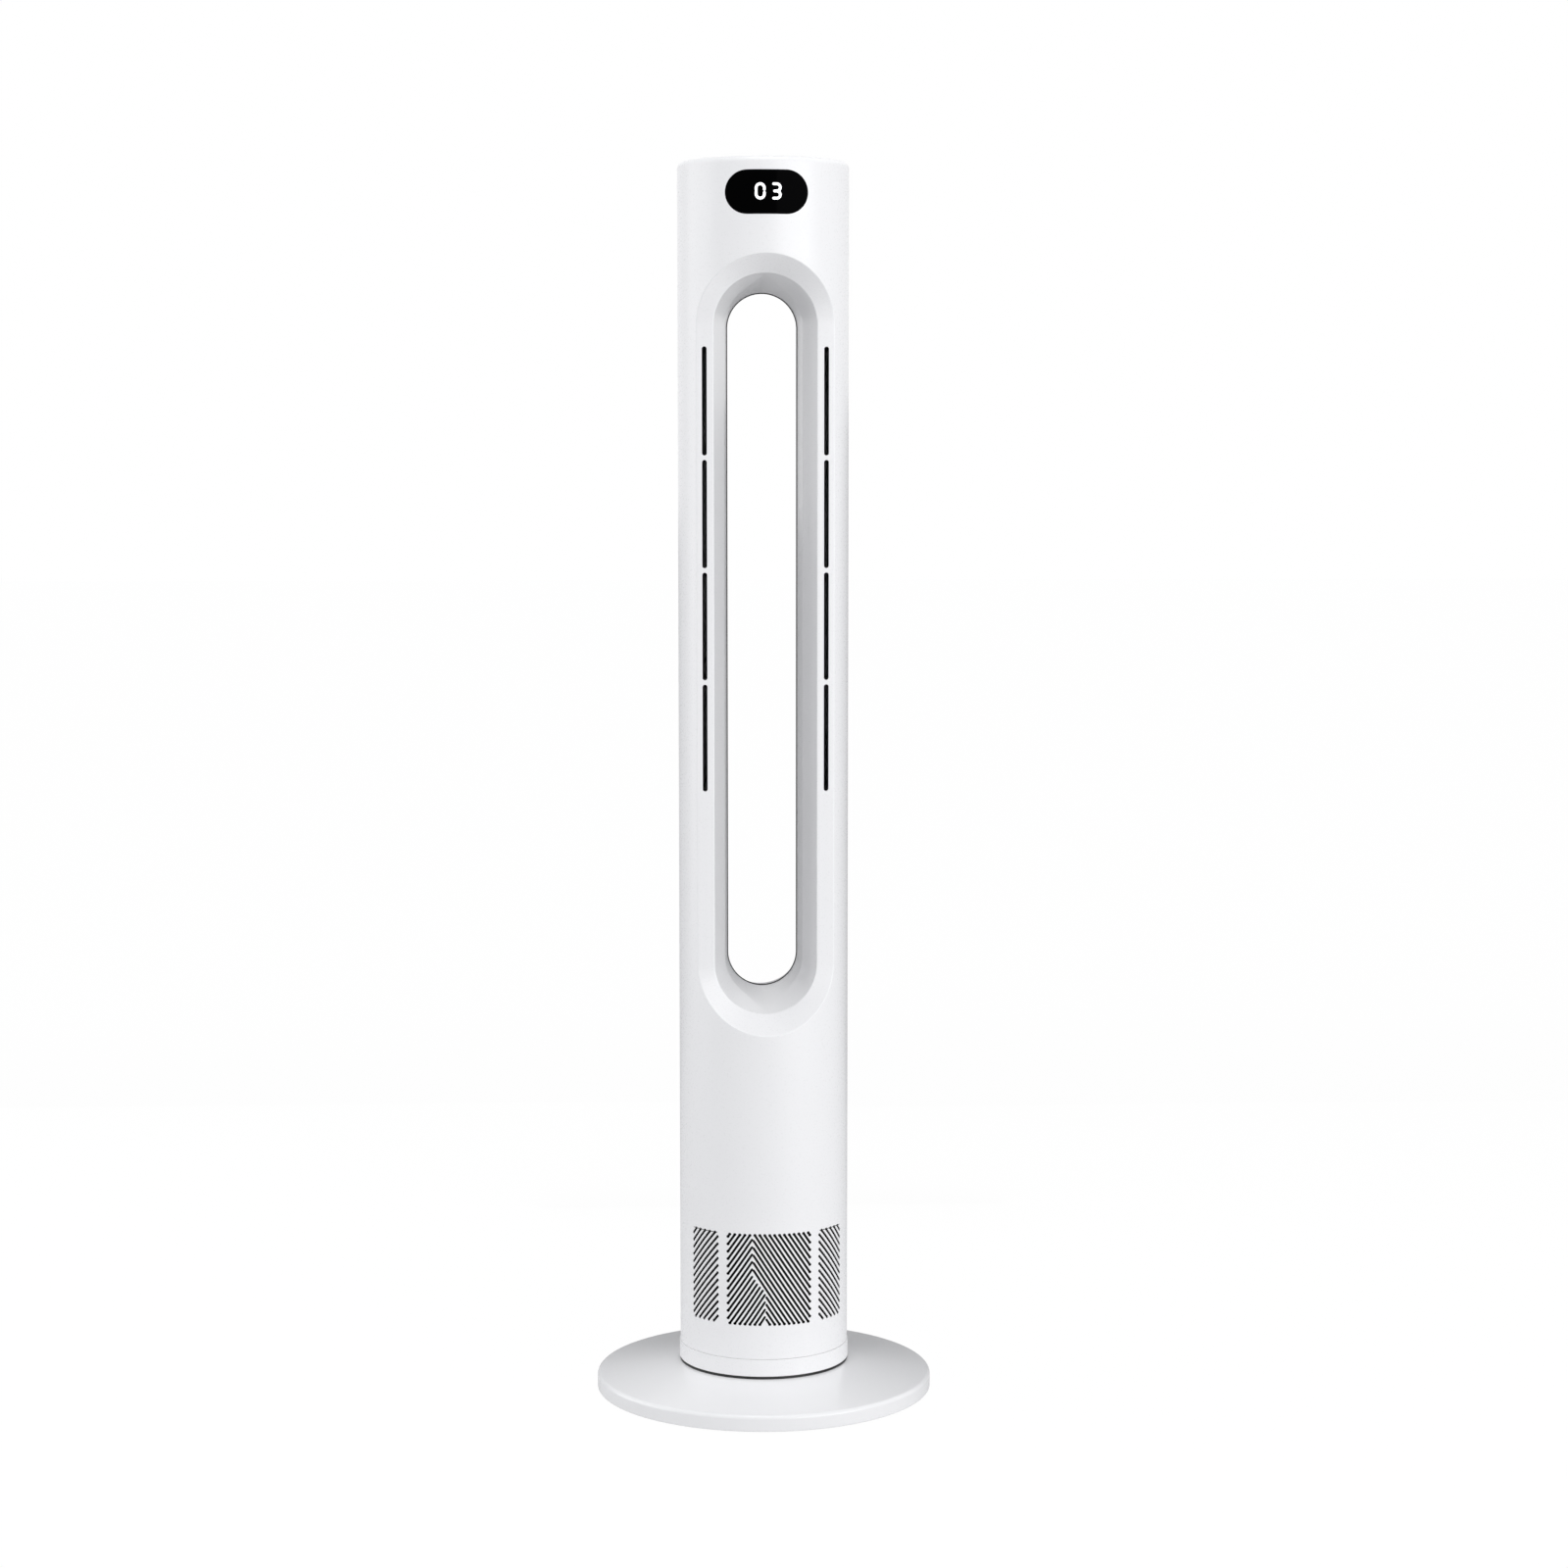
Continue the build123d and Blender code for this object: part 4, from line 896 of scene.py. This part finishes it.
smooth(shell_screws)
paint(shell_screws, zinc_screw)
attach(shell_screws, "column")
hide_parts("shell_screws")


# ---- Dust filter ----
# Two thin sleeves of black woven nylon mesh close behind the front and the rear grille.
# They stop dust, and they are why the slits look evenly black.
def woven(name, yarn, gap_colour, spacing, roughness):
    """Plain woven mesh: crossing yarns with dark gaps between them, spacing in millimetres."""
    material, place = blank(name)
    threads = add(
        material, "TexVoronoi",
        {"distance": "CHEBYCHEV", "Scale": 1000 / spacing, "Randomness": 0.0},
        {"Vector": place},
    )
    tone = add(material, "Mix", between(gap_colour, yarn), {0: (threads, "Distance")})
    bump = add(
        material, "Bump", {"Strength": 0.8, "Distance": 0.2 * mm},
        {"Height": (threads, "Distance")},
    )
    shader = add(
        material, "BsdfPrincipled", {"Roughness": roughness, "Specular IOR Level": 0.25},
        {"Base Color": (tone, 2), "Normal": (bump, 0)},
    )
    add(material, "OutputMaterial", {}, {"Surface": (shader, 0)})
    return material


# Nylon mesh: dull black yarns about 0.4 mm apart, drawn at 0.8 mm so that they show.
filter_mesh = woven("nylon black woven mesh", "#101012", "#040405", 0.8, 0.7)
finish(filter_mesh, "dust_filter")


# ---- Tunnel through the column ----
# Two smooth white ABS tunnels meet behind the ring: the front one narrows in two tapers
# with a soft crease between them, and the rear one flares to the rear shell. The thin black
# gasket between them is painted shade: it stands in for the shadow gap at their joint and
# shows as a fine dark line.
def tunnel(name, section):
    """Closed wall round the opening from its section, a loop of (radius, depth)."""
    radius = 50.0
    piece = outline(name, [(x, 0, z) for x, z in oval(radius)])
    everything = set(range(len(piece.data.vertices)))
    rows = [sorted(everything)]
    rows += pull_rows(piece, everything, len(section(1.0, 0.0)) - 1)
    pick(piece, "EDGE", set(rows[0]) | set(rows[-1]))
    bpy.ops.mesh.bridge_edge_loops()
    mode("OBJECT")
    shape_rows(piece, rows, section, radius)
    tidy_normals(piece)
    return piece


liner_wall, liner_front = 2.2, -43.3
throat_radius, throat_y, rear_start = 31.5, 30.0, 30.8
leg_crease, leg_crease_radius, end_crease, end_crease_radius = -4.0, 34.4, -42.6, 44.6
crease_sweep, slope_sweep, crease_reach = 6, 1.8, 1.6
flange_width, flange_back, neck_width, neck_back = 3.2, -41.1, 1.4, -39.0


def crease_at(across, up):
    """Radius and depth of the crease: far in along the sides, out at the ring at both ends."""
    turned = math.degrees(math.atan2(abs(up), abs(across))) / 90
    depth = leg_crease + (end_crease - leg_crease) * turned ** crease_sweep
    leg_slope = (leg_crease_radius - throat_radius) / (throat_y - leg_crease)
    end_slope = (end_crease_radius - throat_radius) / (throat_y - end_crease)
    slope = leg_slope + (end_slope - leg_slope) * turned ** slope_sweep
    return throat_radius + slope * (throat_y - depth), depth


def front_tunnel_section(across, up):
    """In along the first taper, over the crease, to the throat, and back outside."""
    mouth = (ring_inner, liner_front)
    crease = crease_at(across, up)
    throat = (throat_radius, throat_y)
    before, after = (toward(crease, end, crease_reach) for end in (mouth, throat))
    outward = Vector((liner_wall, 0))
    line = [Vector(mouth), before] + bend(before, crease, after)
    line += [Vector(throat), Vector(throat) + outward, Vector(crease) + outward]
    flange = ring_inner + flange_width
    line += [Vector((ring_inner + neck_width, neck_back)), Vector((flange, flange_back))]
    return line + [Vector((flange, liner_front))]


front_tunnel = tunnel("front_tunnel", front_tunnel_section)
smooth(front_tunnel, 40)
# ABS as on the shells, from a tool with a slightly duller polish inside the tunnel. Its white is
# a little darker than the shells' as painted shade for the deep tunnel.
tunnel_abs_painted_shade = moulded("ABS white moulded tunnel painted shade", "#f0f0f1", "#ececed", 0.32, 1.4, 0.003)
paint(front_tunnel, tunnel_abs_painted_shade)
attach(front_tunnel, "column")
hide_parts("tunnel_liner")

shade_seal_inner, shade_seal_outer, shade_seal_front, shade_seal_back = 30.6, 33.7, 30.02, 30.78
lip_inner, lip_front, lip_back = 30.9, 30.2, 30.6


def shadow_gap_section(across, up):
    """Thin black gasket with a rounded lip, painted shade for the shadow gap between the
    tunnels.
    """
    lip = [(lip_inner, shade_seal_front), (shade_seal_inner, lip_front), (shade_seal_inner, lip_back)]
    lip += [(lip_inner, shade_seal_back), (shade_seal_outer, shade_seal_back), (shade_seal_outer, shade_seal_front)]
    return [Vector(p) for p in lip]


# The black gasket is painted shade: a dark ring standing in for the shadow gap where the tunnels
# meet.
tunnel_seal = tunnel("tunnel_gasket_painted_shade", shadow_gap_section)
smooth(tunnel_seal, 60)
paint(tunnel_seal, black_rubber)
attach(tunnel_seal, "column")
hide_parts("tunnel_seal")


flare_end, rim_reach, skin_reach, rim_drop = 80, 0.9, 0.4, 0.5
catch_width, catch_gap, catch_depth = 4.0, 0.05, 2.2


def rear_tunnel_section(across, up):
    """Flaring tunnel whose edge ends flush with the rear shell, over a catch behind the wall."""
    rise = (tunnel_flare - throat_radius) / (flare_end - rear_start)

    def meets(start):
        """Where a flaring line from a radius at the throat reaches the column's wall."""
        depth = 70.0
        for _ in range(12):
            depth = on_column(start + rise * (depth - rear_start), across)
        return Vector((start + rise * (depth - rear_start), depth))

    throat = Vector((throat_radius, rear_start))
    inner_edge, outer_edge = meets(throat_radius), meets(throat_radius + tunnel_wall)
    inner_start = toward(inner_edge, throat, rim_reach)
    along_skin = toward(inner_edge, outer_edge, rim_reach)
    line = [throat, inner_start] + bend(inner_start, inner_edge, along_skin)
    before_outer = toward(outer_edge, inner_edge, skin_reach)
    after_outer = outer_edge - Vector((0, rim_drop))
    line += [before_outer] + bend(before_outer, outer_edge, after_outer, 3)
    catch = tunnel_flare + tunnel_wall + catch_width
    outside = column_radius - column_wall - catch_gap
    inside = column_radius - column_wall - catch_depth
    for radius, column in (
        (outer_edge.x, outside), (catch, outside), (catch, inside), (outer_edge.x, inside)
    ):
        line.append(Vector((radius, on_column(radius, across, column))))
    line.append(Vector((throat_radius + tunnel_wall, rear_start)))
    return line


rear_tunnel = tunnel("rear_tunnel_dressed", rear_tunnel_section)
smooth(rear_tunnel, 40)
paint(rear_tunnel, tunnel_abs_painted_shade)
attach(rear_tunnel, "column")
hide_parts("rear_tunnel")


# ---- Air nozzles ----
# Black channels behind the slots that turn the air forwards; only their dark inside shows.
finish(black_abs, "left_nozzle", "right_nozzle")


# ---- Display ----
# A smoked acrylic window wrapped to the column, snapped in from behind against a rubber
# seal. The digits 03 are lit light guides moulded into it, with their board behind.
band_low, band_high, band_back = 1030, 1088.5, -50


def wrapped(name, points, inner, outer):
    """Part of a thin round band inside a flat outline seen from the front."""
    band = lathe(name, oblong(inner, outer, band_low, band_high), 512)
    carve(band, prism("outline", points, clear_front, band_back), "INTERSECT")
    return band


lens_outer, lens_inner, flange_inner, flange_outer, flange_extra = 74.7, 71.3, 69.5, 71.32, 5
window = stadium(display_width, display_height, display_z, 48)
lens = wrapped("display_window", window, lens_inner, lens_outer)
border = stadium(display_width + flange_extra, display_height + flange_extra, display_z, 48)
carve(lens, wrapped("lens_flange", border, flange_inner, flange_outer), "UNION")
smooth(lens)
round_shading(lens, lens_outer)
# Cast acrylic, smoked almost black with a reflection-free hard coat: a deep black with only
# a faint, clean sheen.
acrylic = moulded(
    "acrylic smoked coated",
    "#030304", "#020202", 0.10, 3.0, 0.0004, **{"Specular IOR Level": 0.006}
)
paint(lens, acrylic)
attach(lens, "column")
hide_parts("display_lens")


def digit(name, points):
    """A digit's outline, drawn about its own middle height, wrapped to the window."""
    placed = [(x, digit_z + z) for x, z in points]
    return wrapped(name, placed, lens_outer - digit_sink, lens_outer + digit_proud)


digit_z, digit_height, digit_stroke = display_z + 0.5, 14.3, 2.25
digit_sink, digit_proud, leg_parting, bar_step = 0.7, 0.05, 0.2, 0.8
half = digit_stroke / 2


def mirrored(points):
    """The lower half of a digit that its upper half gives, or the other way round."""
    return [(x, -z) for x, z in reversed(points)]


# Nought: two facing arches whose legs pinch together on the left and nearly meet on the right.
nought_left, nought_width = -10.3, 9.2
arch = nought_width / 2 - half
x, rise = nought_left + nought_width / 2, (digit_height - nought_width) / 2
left, right = x - arch, x + arch
pinch, parting = half - leg_parting, half + leg_parting
waist = math.degrees(math.asin(pinch / half))
outer = circle(x, rise, arch + half, 32, 0, 180)
outer += circle(left, pinch, half, 6, 180, waist)
inner = circle(right, -parting, half, 16, 0, 180)
inner += circle(x, -rise, arch - half, 32, 0, -180)
inner += circle(left, -pinch, half, 6, 0, waist)
nought = digit("digit_nought", outer + mirrored(outer)[1:] + inner + mirrored(inner)[1:])

# Three: three bars joined by two round lobes on the right, with a notch between them.
three_left, three_width = 4.6, 7.9
lobe = (digit_height - digit_stroke) / 4
x, start = three_left + three_width - half - lobe, three_left + half
notch = math.degrees(math.asin(lobe / (lobe + half)))
upper = circle(x, lobe, lobe + half, 24, -notch, 90 + notch)
upper += circle(start, 2 * lobe, half, 16, 90, 180)
upper += circle(x, lobe, lobe - half, 24, 90, -180)
middle = circle(start + bar_step, 0, half, 16, 90, 180)
three = digit("digit_three", upper + middle + mirrored(upper)[:-1])
digits = join(nought, [three])
digits.name = "lit_digits"
smooth(digits)


def lit(name, core, edge, strength):
    """Light guide: even white light, a little cooler in patches of some millimetres."""
    patch = 4.0
    material, place = blank(name)
    patches = add(
        material, "TexNoise", {"Scale": 1000 / patch, "Detail": 1.0}, {"Vector": place}
    )
    tone = add(material, "Mix", between(edge, core), {0: (patches, "Fac")})
    shader = add(
        material, "BsdfPrincipled", {"Roughness": 0.4, "Emission Strength": strength},
        {"Base Color": (tone, 2), "Emission Color": (tone, 2)},
    )
    add(material, "OutputMaterial", {}, {"Surface": (shader, 0)})
    return material


# Diffusing acrylic lit from behind: even, slightly cool white.
light_guide = lit("acrylic diffusing light guide", "#ffffff", "#eef0f4", 0.85)
paint(digits, light_guide)
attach(digits, "column")
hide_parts("display_digits")
finish(black_rubber, "lens_seal")
finish(black_abs, "display_module", "remote_receiver")


# ---- Top panel and keys ----
# A white ABS disc sunk a little below the rim, with four round push keys near its front
# edge, each in a fine ring-shaped gap over its switch.
key_radius, key_y, key_gap, key_pitch = 7.4, -34.0, 0.3, 18.0
key_names = ("power_key", "speed_key", "swing_key", "timer_key")
key_places = [(name, (i - 1.5) * key_pitch) for i, name in enumerate(key_names)]
panel_radius, panel_low, panel_high = 68.9, 1086.1, 1089
panel_section = [(0, panel_low), (panel_radius, panel_low, 0.3)]
panel_section += [(panel_radius, panel_high, 0.5), (0, panel_high)]
panel = lathe("top_panel_dressed", panel_section)
hole_corners = oblong(0, key_radius + key_gap, panel_low - past, panel_high + past)
holes = [lathe("key_hole", hole_corners, 64, (x, key_y)) for _, x in key_places]
carve(panel, join(holes[0], holes[1:]))
post_circle, post_tip, post_root = 56, 1074, 1087
post_corners = [(post_hole, post_tip), (post_radius, post_tip, 0.3)]
post_corners += [(post_radius, post_root), (post_hole, post_root)]
posts = []
for angle in (20, 110, 200, 290):
    turned = math.radians(angle)
    spot = (post_circle * math.cos(turned), post_circle * math.sin(turned))
    posts.append(lathe("panel_post", post_corners, 32, spot))
carve(panel, join(posts[0], posts[1:]), "UNION")
smooth(panel)
paint(panel, white_abs)
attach(panel, "column")
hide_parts("top_panel")

# Each key: a stem over its switch, a flange under the panel and a slightly dished cap.
key_flange, key_stem, key_dish = key_radius + 1.1, 2, 5.0
stem_low, flange_low, flange_high = 1080.6, 1083.4, 1085.2
key_top, dish_edge, dish_middle = 1089.7, 1089.3, 1089.1
key_section = [
    (0, stem_low),
    (key_stem, stem_low, 0.2),
    (key_stem, flange_low),
    (key_flange, flange_low, 0.2),
    (key_flange, flange_high, 0.3),
    (key_radius, flange_high),
    (key_radius, key_top, 0.6),
    (key_dish, dish_edge, 2.0),
    (0, dish_middle),
]
for name, x in key_places:
    key = lathe(name + "_cap", key_section, 96, (x, key_y))
    smooth(key)
    paint(key, white_abs)
    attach(key, name + "_body")
    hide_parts(name)
finish(zinc_screw, "control_board_screws")


# ---- Studio ----
# Plain pale floor, soft daylight from all round with a large soft lamp at the right front,
# grey cards behind the fan that only show in its gloss, and the photograph's camera.
def stage_material(name, dark, light, strength=0.0, lit_share=0.0):
    """Matt paint with a faint cloudiness; the lit share of it is plain white to the eye."""
    material, place = blank(name)
    cloud = add(material, "TexNoise", {"Scale": 2.0}, {"Vector": place})
    tone = add(material, "Mix", between(dark, light), {0: (cloud, "Fac")})
    ground = add(material, "BsdfDiffuse", {}, {"Color": (tone, 2)})
    plain = add(material, "Emission", {"Strength": strength})
    seen = add(material, "LightPath")
    share = add(
        material, "Math", {"operation": "MULTIPLY", 1: lit_share}, {0: (seen, "Is Camera Ray")}
    )
    mixed = add(material, "MixShader", {}, {0: (share, 0), 1: (ground, 0), 2: (plain, 0)})
    add(material, "OutputMaterial", {}, {"Surface": (mixed, 0)})
    return material


bpy.ops.object.select_all(action="DESELECT")
bpy.ops.mesh.primitive_plane_add(size=40)
floor = bpy.context.object
floor.name = "floor"
paint(floor, stage_material("studio floor matt paint", "#dadada", "#dedede", 1.02, 0.96))
floor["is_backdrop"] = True


def screen(name, left, right, back, top, dark, light):
    """Standing card behind the fan, out of the picture; its dark face shows in the gloss."""
    middle = ((left + right) / 2, back, top / 2)
    bpy.ops.mesh.primitive_plane_add(size=1, location=middle, rotation=(math.pi / 2, 0, 0))
    card = bpy.context.object
    card.name = name
    card.scale = (right - left, top, 1)
    card.visible_camera = False
    paint(card, stage_material(name + " matt paint", dark, light))
    card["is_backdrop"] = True


screen("low_card", -0.22, 0.30, 0.70, 0.18, "#191919", "#1c1c1c")
screen("left_card", -1.80, 0.00, 1.30, 0.75, "#929292", "#989898")
screen("right_card", 0.00, 2.00, 1.25, 0.90, "#606060", "#656565")

world = bpy.data.worlds.new("studio")
bpy.context.scene.world = world
world.use_nodes = True
world.node_tree.nodes.clear()
seen = add(world, "LightPath")
eye = add(
    world, "Math", {"operation": "MAXIMUM"},
    {0: (seen, "Is Camera Ray"), 1: (seen, "Is Transmission Ray")},
)
eye = add(world, "Math", {"operation": "MAXIMUM"}, {0: (eye, 0), 1: (seen, "Is Glossy Ray")})
ambient = add(world, "Background", {"Color": linear("#fbfcff"), "Strength": 0.55})
backdrop = add(world, "Background", {"Color": (1, 1, 1, 1), "Strength": 1.0})
chosen = add(world, "MixShader", {}, {0: (eye, 0), 1: (ambient, 0), 2: (backdrop, 0)})
add(world, "OutputWorld", {}, {"Surface": (chosen, 0)})


def lamp(name, place, target, size, power):
    """Large white soft box that looks at a point."""
    light = bpy.data.lights.new(name, "AREA")
    light.shape = "RECTANGLE"
    light.size, light.size_y = size
    light.energy = power
    holder = bpy.data.objects.new(name, light)
    bpy.context.scene.collection.objects.link(holder)
    holder.location = place
    aim = Vector(target) - Vector(place)
    holder.rotation_euler = aim.to_track_quat("-Z", "Y").to_euler()


lamp("key_soft_box", (2.25, -2.6, 0.90), (0, 0, 0.45), (3.2, 1.7), 50)
lamp("fill_soft_box", (-2.5, 0.3, 1.0), (0, 0, 0.5), (2.2, 2.0), 22)
lamp("top_soft_box", (0, -0.6, 3.0), (0, 0, 0), (1.2, 1.2), 15)

# The camera: its place and its focal length, in pixels of the photograph's width, were
# fitted to the photograph.
focal_pixels, photo_pixels = 3284.955, 1600
camera = bpy.data.cameras.new("camera")
camera.sensor_width = 36.0
camera.lens = focal_pixels / photo_pixels * camera.sensor_width
eye_point = bpy.data.objects.new("camera", camera)
bpy.context.scene.collection.objects.link(eye_point)
eye_point.location = (-0.12650, -2.84372, 0.83046)
eye_point.rotation_euler = (math.radians(84.293), 0.0, math.radians(-2.915))
bpy.context.scene.camera = eye_point
bpy.context.scene.view_settings.view_transform = "Standard"

low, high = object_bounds()
